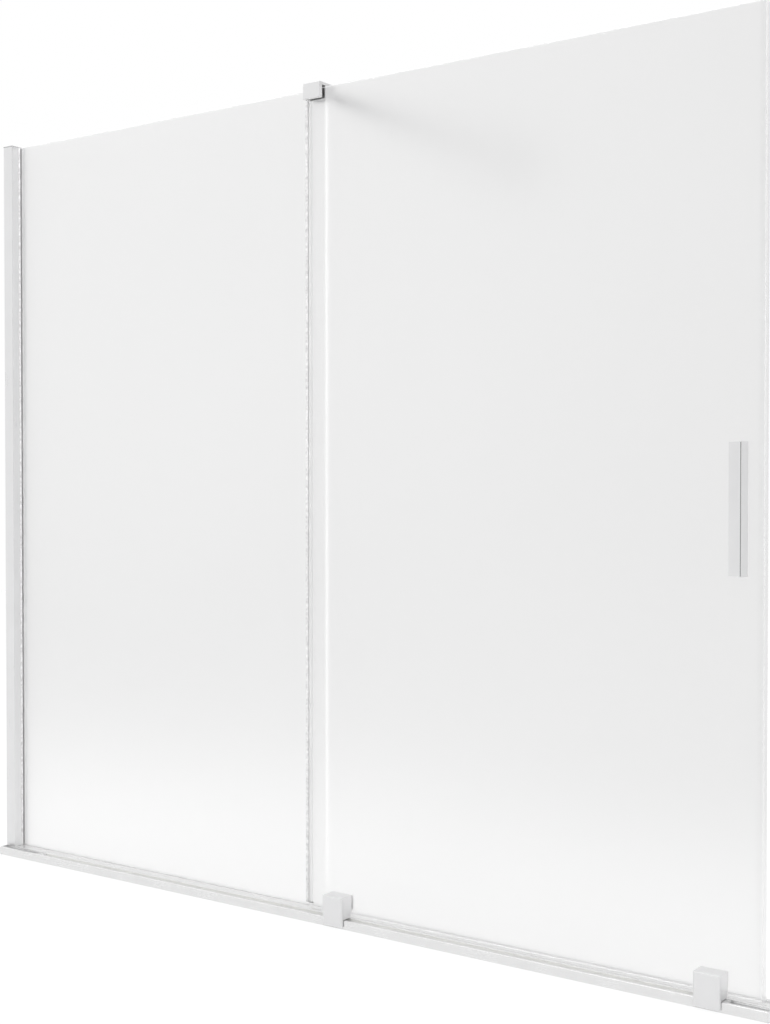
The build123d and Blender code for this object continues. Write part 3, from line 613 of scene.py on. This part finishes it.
def eased(
    node: str, finish: Finish, body: Body, width: float, steps: int = 2, slack: float = 0.0
) -> bpy.types.Object:
    """Copy a node of the frame with its sharp edges rounded.

    Args:
        node: the node's name.
        finish: the copy's finish.
        body: the body that it rides on.
        width: the width of the rounding in metres.
        steps: how many faces the rounding has.
        slack: how far the surface is drawn in, so that it doesn't coincide with what it touches.

    Returns:
        The new object, which stands for the node.
    """
    shape = bmesh.new()
    shape.from_mesh(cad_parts[node].data)
    bmesh.ops.remove_doubles(shape, verts=shape.verts, dist=WELD)
    bmesh.ops.dissolve_limit(shape, angle_limit=FLAT_WITHIN, verts=shape.verts, edges=shape.edges)
    edges = [edge for edge in shape.edges if edge.is_manifold and edge.calc_face_angle() > EASED_FROM]
    bmesh.ops.bevel(
        shape,
        geom=edges,
        offset=width,
        offset_type="OFFSET",
        segments=steps,
        profile=0.5,
        affect="EDGES",
        clamp_overlap=True,
        miter_outer="ARC",
    )
    bmesh.ops.recalc_face_normals(shape, faces=shape.faces)
    shape.normal_update()
    for vertex in shape.verts:
        vertex.co -= vertex.normal * slack
    mesh = bpy.data.meshes.new(node)
    shape.to_mesh(mesh)
    shape.free()
    piece = settle(mesh, f"{node}.eased", finish, body, [node])
    weighted = piece.modifiers.new("weighted", "WEIGHTED_NORMAL")
    weighted.keep_sharp = True
    return piece


def rounded(outline: Outline, radius: float, steps: int = 4) -> Outline:
    """Round the corners of a closed outline.

    Args:
        outline: its corners.
        radius: how far the rounding reaches along each side, at most.
        steps: how many sides each rounding has.

    Returns:
        The rounded outline.
    """
    longest_share = 0.45
    result: Outline = []
    count = len(outline)
    for i, corner in enumerate(outline):
        here = Vector(corner)
        before = Vector(outline[i - 1])
        after = Vector(outline[(i + 1) % count])
        shorter = min((before - here).length, (after - here).length)
        reach = min(radius, longest_share * shorter)
        start = here + (before - here).normalized() * reach
        end = here + (after - here).normalized() * reach
        for k in range(steps + 1):
            t = k / steps
            point = start * (1 - t) ** 2 + here * 2 * t * (1 - t) + end * t**2
            result.append((point.x, point.y))
    return result


def drawn(outline: Outline, run: Run, start: float, end: float) -> bpy.types.Mesh:
    """Draw a closed outline along an axis.

    Args:
        outline: its points, in the two other axes in order.
        run: the axis.
        start: where the piece starts on that axis.
        end: where it ends.

    Returns:
        A closed mesh.
    """
    shape = bmesh.new()
    rings = []
    for place in (start, end):
        ring = []
        for point in outline:
            place_3d = list(point)
            place_3d.insert(run.value, place)
            ring.append(shape.verts.new(place_3d))
        rings.append(ring)
    count = len(outline)
    for i in range(count):
        k = (i + 1) % count
        shape.faces.new((rings[0][i], rings[0][k], rings[1][k], rings[1][i]))
    shape.faces.new(rings[0])
    shape.faces.new(list(reversed(rings[1])))
    bmesh.ops.triangulate(shape, faces=[f for f in shape.faces if len(f.verts) > 4])
    bmesh.ops.recalc_face_normals(shape, faces=shape.faces)
    mesh = bpy.data.meshes.new("drawn")
    shape.to_mesh(mesh)
    shape.free()
    return mesh


@dataclass
class Turned:
    """A mesh of rings round an axis that runs through the glass, as from a lathe."""

    x: float
    z: float
    sides: int = 48
    shape: bmesh.types.BMesh = field(default_factory=bmesh.new)

    def ring(self, y: float, radius: RadiusAt | float) -> list[bmesh.types.BMVert]:
        """Add one ring of points.

        Args:
            y: its place along the axis.
            radius: its radius, as a number or as a function of the angle.

        Returns:
            The ring's points.
        """
        points = []
        for i in range(self.sides):
            angle = 2 * math.pi * i / self.sides
            reach = radius(angle) if callable(radius) else radius
            place = (self.x + reach * math.cos(angle), y, self.z + reach * math.sin(angle))
            points.append(self.shape.verts.new(place))
        return points

    def skin(self, rings: Sequence[tuple[float, RadiusAt | float]], closed: bool) -> None:
        """Join rings into a surface.

        Args:
            rings: place and radius of each ring, in order.
            closed: whether the last ring meets the first, as in a tyre. If not, both ends are capped.
        """
        made = [self.ring(y, radius) for y, radius in rings]
        pairs = list(zip(made, made[1:]))
        if closed:
            pairs.append((made[-1], made[0]))
        for near, far in pairs:
            for i in range(self.sides):
                k = (i + 1) % self.sides
                self.shape.faces.new((near[i], near[k], far[k], far[i]))
        if not closed:
            self.shape.faces.new(made[0])
            self.shape.faces.new(list(reversed(made[-1])))

    def finish(self) -> bpy.types.Mesh:
        """Close the shape into a mesh.

        Returns:
            The mesh.
        """
        bmesh.ops.recalc_face_normals(self.shape, faces=self.shape.faces)
        mesh = bpy.data.meshes.new("turned")
        self.shape.to_mesh(mesh)
        self.shape.free()
        return mesh


def join_meshes(meshes: Sequence[bpy.types.Mesh]) -> bpy.types.Mesh:
    """Put several meshes into one.

    Args:
        meshes: the meshes, which are used up.

    Returns:
        The joined mesh.
    """
    shape = bmesh.new()
    for mesh in meshes:
        shape.from_mesh(mesh)
        bpy.data.meshes.remove(mesh)
    joined = bpy.data.meshes.new("joined")
    shape.to_mesh(joined)
    shape.free()
    return joined


@dataclass(frozen=True)
class CountersunkScrew:
    """A flat-headed screw through the glass, its head towards the back."""

    x: float
    z: float
    head_y: float
    tip_y: float
    head_radius: float = 4.6 * MM
    shank_radius: float = 2.5 * MM
    head_depth: float = 2.1 * MM
    pitch: float = 0.8 * MM
    thread_depth: float = 0.28 * MM
    socket_reach: float = 1.5 * MM
    socket_depth: float = 1.2 * MM
    socket_land: float = 1.3
    rim: float = 0.25 * MM
    rings_per_turn: int = 6

    def thread(self, y: float) -> RadiusAt:
        """Give the radius round the thread at one place.

        Args:
            y: the place along the screw.

        Returns:
            The radius as a function of the angle.
        """

        def radius(angle: float) -> float:
            """Return the radius at an angle, from crest to root and back in one pitch."""
            turn = (y / self.pitch - angle / (2 * math.pi)) % 1.0
            return self.shank_radius - self.thread_depth * (1 - abs(2 * turn - 1))

        return radius

    def hexagon(self, angle: float) -> float:
        """Give the radius of the socket's six flat sides.

        Args:
            angle: the angle round the screw.

        Returns:
            The radius there.
        """
        sixth = math.pi / 3
        flat = self.socket_reach * math.cos(sixth / 2)
        return flat / math.cos(angle % sixth - sixth / 2)

    def mesh(self) -> bpy.types.Mesh:
        """Build tip, thread, cone, rim and socket.

        Returns:
            The mesh.
        """
        lathe = Turned(self.x, self.z)
        neck_y = self.head_y - self.head_depth
        root = self.shank_radius - self.thread_depth
        rings: list[tuple[float, RadiusAt | float]] = [
            (self.tip_y, self.shank_radius - 2 * self.thread_depth),
            (self.tip_y + self.thread_depth, root),
        ]
        y = self.tip_y + self.thread_depth
        while y < neck_y - self.pitch:
            rings.append((y, self.thread(y)))
            y += self.pitch / self.rings_per_turn
        rings += [
            (neck_y - self.pitch / 2, root),
            (neck_y, self.shank_radius),
            (self.head_y - self.rim, self.head_radius - self.rim / 3),
            (self.head_y - self.rim / 3, self.head_radius),
            (self.head_y, self.head_radius - self.rim / 3),
            (self.head_y, self.socket_reach * self.socket_land),
            (self.head_y, self.hexagon),
            (self.head_y - self.socket_depth, self.hexagon),
        ]
        lathe.skin(rings, closed=False)
        return lathe.finish()


@dataclass
class BottomRail:
    """The low rail with its track, end caps, stops and the filler of its glass groove."""

    edge: float = 0.25 * MM
    soft_edge: float = 0.3 * MM
    groove_back: float = 20.0 * MM
    track_floor: float = 8.0 * MM
    strip: float = 1.0 * MM

    def build(self) -> None:
        """Ease the rail and its fittings, and dress the gasket under the fixed glass."""
        eased("bottom_rail", RAIL_METAL, Body.SCREEN, self.edge)
        eased("groove_filler", GREY_PLASTIC, Body.SCREEN, self.soft_edge)
        for side in Side:
            eased(f"rail_end_cap_{side.value}", RAIL_METAL, Body.SCREEN, self.soft_edge)
            eased(f"track_stop_{side.value}", STOP_NYLON, Body.SCREEN, self.soft_edge)
            eased(f"stop_buffer_{side.value}", GASKET, Body.SCREEN, self.soft_edge)
        eased("base_gasket", WHITE_VINYL, Body.SCREEN, self.soft_edge, slack=SOFT_SLACK)
        self.wear_strip()

    def wear_strip(self) -> None:
        """Line the back wall of the track with a white strip that keeps the wheels off the metal."""
        left_low, left_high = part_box("track_stop_left")
        right_low, right_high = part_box("track_stop_right")
        rail_low, rail_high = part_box("bottom_rail")
        wall = rail_low.y + self.groove_back
        front = wall - self.strip
        foot = rail_low.z + self.track_floor + SOFT_SLACK
        top = rail_high.z - 2 * SOFT_SLACK
        outline = [
            (front, foot + 2 * self.strip),
            (front, top),
            (wall - SOFT_SLACK, top),
            (wall - SOFT_SLACK, foot),
            (front - self.strip, foot),
            (front - self.strip, foot + self.strip / 2),
        ]
        mesh = drawn(rounded(outline, self.soft_edge), Run.ALONG_RAIL, left_high.x, right_low.x)
        settle(mesh, "track_wear_strip", WHITE_NYLON, Body.SCREEN, [])


@dataclass
class WallProfile:
    """The upright at the wall: channel, two covers, glazing gaskets and cap."""

    edge: float = 0.3 * MM

    def build(self) -> None:
        """Ease the metal and the soft gaskets."""
        eased("wall_channel", MILL_METAL, Body.SCREEN, self.edge)
        eased("cover_profile_front", PROFILE_METAL, Body.SCREEN, self.edge)
        eased("cover_profile_back", PROFILE_METAL, Body.SCREEN, self.edge)
        eased("profile_cap", GREY_PLASTIC, Body.SCREEN, self.edge)
        eased("lock_screws", STEEL, Body.SCREEN, self.edge / 2)
        eased("lock_screw_caps", GREY_PLASTIC, Body.SCREEN, self.edge)
        for where in ("front", "back"):
            eased(f"glazing_gasket_{where}", GASKET, Body.SCREEN, self.edge, slack=SOFT_SLACK)


@dataclass
class FixedPane:
    """The pane that stands still."""

    def build(self) -> None:
        """Dress the glass."""
        dress("fixed_glass", GLASS)


@dataclass
class TopGuide:
    """The guide at the top: block, liner, pads, screws, and the arm to the wall behind."""

    edge: float = 0.25 * MM

    def build(self) -> None:
        """Ease the block, the arm and its socket."""
        eased("guide_bracket", PLATE, Body.SCREEN, self.edge, steps=3)
        eased("guide_liner", DARK_NYLON, Body.SCREEN, self.edge)
        for where in ("front", "back"):
            eased(f"clamp_pad_{where}", RUBBER, Body.SCREEN, self.edge, slack=SOFT_SLACK)
        eased("clamp_grub_screws", STEEL, Body.SCREEN, self.edge)
        eased("support_arm", ARM_PLATE, Body.SCREEN, self.edge)
        eased("arm_socket", ARM_PLATE, Body.SCREEN, self.edge, steps=3)
        eased("arm_bracket_screw", STEEL, Body.SCREEN, self.edge)
        eased("arm_socket_screw", STEEL, Body.SCREEN, self.edge)


@dataclass
class SlidingPane:
    """The rolling pane with the seals on its edges."""

    edge: float = 0.25 * MM
    seal_wall: float = 1.1 * MM
    body_set_back: float = 1.6 * MM
    lip_round: float = 0.7 * MM

    def build(self) -> None:
        """Dress the glass and make the seals."""
        dress("sliding_glass", GLASS)
        for node in ("closing_seal", "bottom_wiper", "closing_foot"):
            eased(node, VINYL, Body.PANEL, self.edge, slack=SOFT_SLACK)
        self.trailing_clip()
        self.trailing_lip()

    def trailing_clip(self) -> None:
        """Make the clear clip that holds the trailing seal on the glass."""
        low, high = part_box("trailing_seal")
        glass_low, glass_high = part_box("sliding_glass")
        front = glass_low.y - SOFT_SLACK
        back = glass_high.y + SOFT_SLACK
        end = glass_low.x - SOFT_SLACK
        outline = [
            (high.x, low.y),
            (high.x, front),
            (end, front),
            (end, back),
            (high.x, back),
            (high.x, glass_high.y + self.seal_wall),
            (end - self.seal_wall, glass_high.y + self.seal_wall),
            (end - self.seal_wall, low.y),
        ]
        mesh = drawn(rounded(outline, self.edge), Run.UPRIGHT, low.z, high.z)
        settle(mesh, "trailing_seal.clip", VINYL, Body.PANEL, ["trailing_seal"])

    def trailing_lip(self) -> None:
        """Make the grey body of the trailing seal, with the fin that wipes the fixed glass."""
        low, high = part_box("trailing_seal")
        glass_low, glass_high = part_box("sliding_glass")
        left = low.x + self.body_set_back
        right = glass_low.x - self.seal_wall - 2 * SOFT_SLACK
        back = glass_high.y + self.seal_wall
        outline = [
            (left, low.y),
            (right, low.y),
            (right, back),
            (left + self.seal_wall, back),
            (low.x + self.seal_wall, high.y),
            (low.x, high.y),
            (left, back - self.seal_wall),
        ]
        mesh = drawn(rounded(outline, self.lip_round), Run.UPRIGHT, low.z, high.z)
        settle(mesh, "trailing_seal.lip", GREY_LIP, Body.PANEL, ["trailing_seal"])


@dataclass
class Carriage:
    """One roller carriage: cover, housing, clamp, screws and the wheel on its axle.

    The shield between the bearing's races dips below them, and rises a little at its middle.
    """

    side: Side
    edge: float = 0.4 * MM
    axle_radius: float = 2.5 * MM
    axle_head: float = 1.6 * MM
    axle_chamfer: float = 0.3 * MM
    axle_dish: float = 0.6
    bore: float = 8.0 * MM
    shoulder: float = 0.6 * MM
    groove: float = 2.28 * MM
    groove_play: float = 0.02 * MM
    groove_steps: int = 12
    wheel_sides: int = 96
    inner_race: float = 4.1 * MM
    outer_race: float = 6.8 * MM
    shield_top: float = 5.4 * MM
    shield_dip: float = 0.35 * MM
    shield_rise: float = 0.1 * MM
    race_edge: float = 0.3 * MM
    race_play: float = 0.05 * MM

    @property
    def wheel(self) -> Body:
        """Return the body that this carriage's wheel rides on."""
        return Body.WHEEL_LEFT if self.side is Side.LEFT else Body.WHEEL_RIGHT

    def build(self) -> None:
        """Ease the block's pieces, turn the wheel and make the screws."""
        side = self.side.value
        eased(f"carriage_cover_{side}", PLATE, Body.PANEL, self.edge, steps=3)
        eased(f"carriage_housing_{side}", PLATE, Body.PANEL, self.edge / 2)
        eased(f"carriage_clamp_plate_{side}", PLATE, Body.PANEL, self.edge / 2)
        for where in ("front", "back"):
            eased(f"carriage_pad_{where}_{side}", VINYL, Body.PANEL, self.edge / 4, slack=SOFT_SLACK)
        eased(f"carriage_bushes_{side}", WHITE_NYLON, Body.PANEL, self.edge / 4, slack=SOFT_SLACK)
        eased(f"axle_spacers_{side}", WHITE_NYLON, Body.PANEL, self.edge / 4)
        self.axle()
        self.tyre()
        self.bearing()
        self.screws()

    def axle(self) -> None:
        """Turn the axle: a low head with a dished face, and a shank with a chamfered end."""
        node = f"axle_{self.side.value}"
        low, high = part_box(node)
        head = (high.x - low.x) / 2
        chamfer = self.axle_chamfer
        lathe = Turned((low.x + high.x) / 2, (low.z + high.z) / 2)
        rings = [
            (low.y + 2 * chamfer, head / 3),
            (low.y, head * self.axle_dish),
            (low.y, head - chamfer),
            (low.y + chamfer, head),
            (low.y + self.axle_head - chamfer / 2, head),
            (low.y + self.axle_head, head - chamfer / 2),
            (low.y + self.axle_head, self.axle_radius),
            (high.y - chamfer, self.axle_radius),
            (high.y, self.axle_radius - chamfer),
        ]
        lathe.skin(rings, closed=False)
        settle(lathe.finish(), f"{node}.turned", STEEL, Body.PANEL, [node])

    def tyre(self) -> None:
        """Turn the tyre with rounded shoulders and the round groove that runs on the track."""
        node = f"wheel_tyre_{self.side.value}"
        low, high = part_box(node)
        radius = (high.x - low.x) / 2
        half = (high.y - low.y) / 2
        middle = (high.y + low.y) / 2
        lathe = Turned((low.x + high.x) / 2, (low.z + high.z) / 2, sides=self.wheel_sides)
        flank = [
            (half, self.bore),
            (half, radius - self.shoulder),
            (half - self.shoulder / 3, radius - self.shoulder / 3),
            (half - self.shoulder, radius),
        ]
        rings = [(middle - reach, height) for reach, height in flank]
        for k in range(self.groove_steps + 1):
            across = math.pi * k / self.groove_steps
            depth = self.groove * math.sin(across) - self.groove_play
            rings.append((middle - self.groove * math.cos(across), radius - depth))
        rings += [(middle + reach, height) for reach, height in reversed(flank)]
        lathe.skin(rings, closed=True)
        settle(lathe.finish(), f"{node}.turned", WHITE_NYLON, self.wheel, [node])

    def bearing(self) -> None:
        """Turn the bearing: two races and the dished shields between them."""
        node = f"wheel_bearing_{self.side.value}"
        low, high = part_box(node)
        outer = (high.x - low.x) / 2
        inner = self.axle_radius + self.race_play
        chamfer = 2 / 3 * self.race_edge
        slope = self.race_edge / 2
        lathe = Turned((low.x + high.x) / 2, (low.z + high.z) / 2, sides=self.wheel_sides)
        profile = [
            (chamfer, inner),
            (0.0, inner + chamfer),
            (0.0, self.inner_race),
            (self.shield_dip, self.inner_race + slope),
            (self.shield_dip - self.shield_rise, self.shield_top),
            (self.shield_dip, self.outer_race - chamfer),
            (0.0, self.outer_race),
            (0.0, outer - self.race_edge),
            (self.race_edge, outer),
        ]
        rings = [(low.y + depth, radius) for depth, radius in profile]
        rings += [(high.y - depth, radius) for depth, radius in reversed(profile)]
        lathe.skin(rings, closed=True)
        settle(lathe.finish(), f"{node}.turned", STEEL, self.wheel, [node])

    def screws(self) -> None:
        """Make the two screws through the glass."""
        node = f"carriage_screws_{self.side.value}"
        low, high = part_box(node)
        head = (high.z - low.z) / 2
        z = (low.z + high.z) / 2
        meshes = [CountersunkScrew(x, z, high.y, low.y, head).mesh() for x in (low.x + head, high.x - head)]
        settle(join_meshes(meshes), f"{node}.threaded", STEEL, Body.PANEL, [node])


@dataclass
class Handle:
    """The upright handle, its plate behind the glass and its screws."""

    edge: float = 0.3 * MM
    blade: float = 4.0 * MM
    # place and width of the dark strip that paints the shadow line on the blade's front edge
    shadow_strip_inset: float = 2.45 * MM
    shadow_strip_width: float = 1.25 * MM

    def build(self) -> None:
        """Ease the handle and its plate, lay the painted shadow strip along the blade, and make the screws.
        """
        eased("handle", PLATE, Body.PANEL, self.edge, steps=3)
        eased("handle_back_plate", PLATE, Body.PANEL, self.edge)
        for where in ("front", "back"):
            eased(f"handle_pad_{where}", VINYL, Body.PANEL, self.edge / 4, slack=SOFT_SLACK)
        eased("handle_bushes", WHITE_NYLON, Body.PANEL, self.edge / 4, slack=SOFT_SLACK)
        # a dark strip that paints the shadow along the blade's front corner
        self.painted_shadow_strip()
        low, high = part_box("handle_screws")
        head = (high.x - low.x) / 2
        x = (low.x + high.x) / 2
        meshes = [CountersunkScrew(x, z, high.y, low.y, head).mesh() for z in (low.z + head, high.z - head)]
        settle(join_meshes(meshes), "handle_screws.threaded", STEEL, Body.PANEL, ["handle_screws"])

    def painted_shadow_strip(self) -> None:
        """Lay a thin dark strip along the blade's front edge, a painted shadow line at the blade's front
        corner.
        """
        low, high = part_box("handle")
        left = high.x - self.blade + self.shadow_strip_inset
        right = left + self.shadow_strip_width
        front = low.y - SOFT_SLACK
        back = front + self.shadow_strip_width
        outline = [(left, front), (right, front), (right, back), (left, back)]
        end = self.shadow_strip_width
        mesh = drawn(rounded(outline, self.shadow_strip_width / 4), Run.UPRIGHT, low.z + end, high.z - end)
        # the dark rubber strip is painted shadow, not a part of the handle
        settle(mesh, "handle_painted_shadow_strip", RUBBER, Body.PANEL, [])


@dataclass
class Studio:
    """A white floor, a white surround and a soft lamp.

    Both are plain white to the camera. What metal and glass show of them gets darker to the right and
    with the distance behind the screen, as in a studio that is lit from the left.
    """

    floor_size: float = 14.0
    floor_tone: float = 0.9
    floor_glow: float = 0.85
    floor_white: float = 1.03
    floor_near: float = 0.945
    floor_far: float = 0.77
    floor_fade: tuple[float, float] = (0.25, 1.7)
    floor_mirrored: float = 0.86
    sky_white: float = 1.0
    sky_light: float = 1.0
    level_sky: float = 0.86
    high_sky: float = 1.3
    sky_rise: tuple[float, float] = (0.25, 0.9)
    left_sky: float = 1.015
    right_sky: float = 0.69
    sky_turn: tuple[float, float] = (-0.75, 0.6)
    glass_sky: float = 0.91
    floor_left: float = 1.03
    floor_right: float = 0.94
    lamps: tuple[tuple[str, tuple[float, float, float], float, float], ...] = (
        ("lamp_overhead", (0.2, 0.3, 4.2), 3.5, 70.0),
    )

    def build(self) -> None:
        """Set the surround, the floor and the lamps."""
        self.surround()
        self.floor()
        for name, place, size, power in self.lamps:
            self.lamp(name, place, size, power)

    def surround(self) -> None:
        """Make the world white to the camera, and brighter from above in metal."""
        world = bpy.data.worlds.new("studio")
        bpy.context.scene.world = world
        world.use_nodes = True
        nodes = Nodes(world.node_tree)
        nodes.tree.nodes.clear()
        rays = nodes.add("ShaderNodeLightPath").outputs
        through = rays["Is Transmission Ray"]
        x, _, z = nodes.parts(nodes.add("ShaderNodeTexCoord").outputs["Generated"])
        height = nodes.remap(z, self.level_sky, self.high_sky, *self.sky_rise, "SMOOTHSTEP")
        beside = nodes.remap(x, self.left_sky, self.right_sky, *self.sky_turn)
        above = nodes.choice(through, height, self.level_sky)
        aside = nodes.choice(through, beside, nodes.combine("MAXIMUM", beside, self.glass_sky))
        shaded = nodes.combine("MULTIPLY", above, aside)
        lighting = nodes.white_light("ShaderNodeBackground", self.sky_light)
        mirrored = nodes.white_light("ShaderNodeBackground", shaded)
        seen = nodes.white_light("ShaderNodeBackground", self.sky_white)
        either = nodes.combine("MAXIMUM", rays["Is Glossy Ray"], through)
        unseen = nodes.layered(either, lighting, mirrored)
        output = nodes.add("ShaderNodeOutputWorld")
        nodes.feed(nodes.layered(rays["Is Camera Ray"], unseen, seen), output.inputs["Surface"])

    def floor(self) -> None:
        """Lay a pale floor that looks white and keeps the screen's shadow."""
        half = self.floor_size / 2
        mesh = bpy.data.meshes.new("floor")
        corners = [(-half, -half, 0), (half, -half, 0), (half, half, 0), (-half, half, 0)]
        mesh.from_pydata(corners, [], [(0, 1, 2, 3)])
        plane = bpy.data.objects.new("floor", mesh)
        bpy.context.scene.collection.objects.link(plane)
        mesh.materials.append(self.floor_material())

    def floor_material(self) -> bpy.types.Material:
        """Make the floor's material: white to the camera, and paler or darker in glass and metal.

        Returns:
            The material.
        """
        material = bpy.data.materials.new("floor_white")
        material.use_nodes = True
        nodes = Nodes(material.node_tree)
        nodes.tree.nodes.clear()
        rays = nodes.add("ShaderNodeLightPath").outputs
        camera = rays["Is Camera Ray"]
        through = rays["Is Transmission Ray"]
        x, y, _ = nodes.parts(nodes.add("ShaderNodeTexCoord").outputs["Object"])
        behind = nodes.remap(y, self.floor_near, self.floor_far, *self.floor_fade, "SMOOTHSTEP")
        along = nodes.remap(x, self.floor_left, self.floor_right, CAD_LOW.x, CAD_HIGH.x)
        passed = nodes.combine("MULTIPLY", behind, along)
        other = nodes.choice(through, self.floor_mirrored, passed)
        glow = nodes.white_light("ShaderNodeEmission", nodes.choice(camera, other, self.floor_white))
        tone = (self.floor_tone, self.floor_tone, self.floor_tone, 1)
        matt = nodes.add("ShaderNodeBsdfDiffuse", color=tone).outputs["BSDF"]
        mirrored = nodes.combine("MAXIMUM", rays["Is Glossy Ray"], through)
        seen = nodes.combine("MAXIMUM", camera, mirrored)
        share = nodes.combine("MULTIPLY", seen, self.floor_glow)
        output = nodes.add("ShaderNodeOutputMaterial")
        nodes.feed(nodes.layered(share, matt, glow), output.inputs["Surface"])
        return material

    def lamp(self, name: str, place: tuple[float, float, float], size: float, power: float) -> None:
        """Hang one soft lamp that looks at the screen's middle.

        Args:
            name: its name.
            place: where it hangs.
            size: the side of its square face.
            power: its power in watts.
        """
        data = bpy.data.lights.new(name, "AREA")
        data.shape = "SQUARE"
        data.size = size
        data.energy = power
        lamp = bpy.data.objects.new(name, data)
        lamp.location = place
        aim = (CAD_LOW + CAD_HIGH) / 2 - Vector(place)
        lamp.rotation_mode = "QUATERNION"
        lamp.rotation_quaternion = aim.to_track_quat("-Z", "Y")
        bpy.context.scene.collection.objects.link(lamp)


@dataclass
class PhotoCamera:
    """The camera of the photograph."""

    place: tuple[float, float, float] = (1.6414, -2.1084, 0.7862)
    turn_left: float = 35.646
    tip_down: float = 1.064
    focal_pixels: float = 1475.75
    frame_height: float = 1024.0
    sensor: float = 36.0

    def build(self) -> None:
        """Set the camera up."""
        data = bpy.data.cameras.new("camera")
        data.sensor_width = self.sensor
        data.lens = self.focal_pixels / self.frame_height * self.sensor
        camera = bpy.data.objects.new("camera", data)
        camera.location = self.place
        camera.rotation_euler = (math.radians(90 - self.tip_down), 0, math.radians(self.turn_left))
        bpy.context.scene.collection.objects.link(camera)
        bpy.context.scene.camera = camera


def main() -> None:
    """Build the screen's sub-assemblies, the studio and the camera in order."""
    logging.basicConfig(level=logging.INFO, format="%(message)s")
    bpy.context.scene.view_settings.view_transform = "Standard"
    assemblies = [
        PhotoCamera(),
        Studio(),
        BottomRail(),
        WallProfile(),
        FixedPane(),
        TopGuide(),
        SlidingPane(),
        Carriage(Side.LEFT),
        Carriage(Side.RIGHT),
        Handle(),
    ]
    for assembly in assemblies:
        assembly.build()


if __name__ == "__main__":
    main()
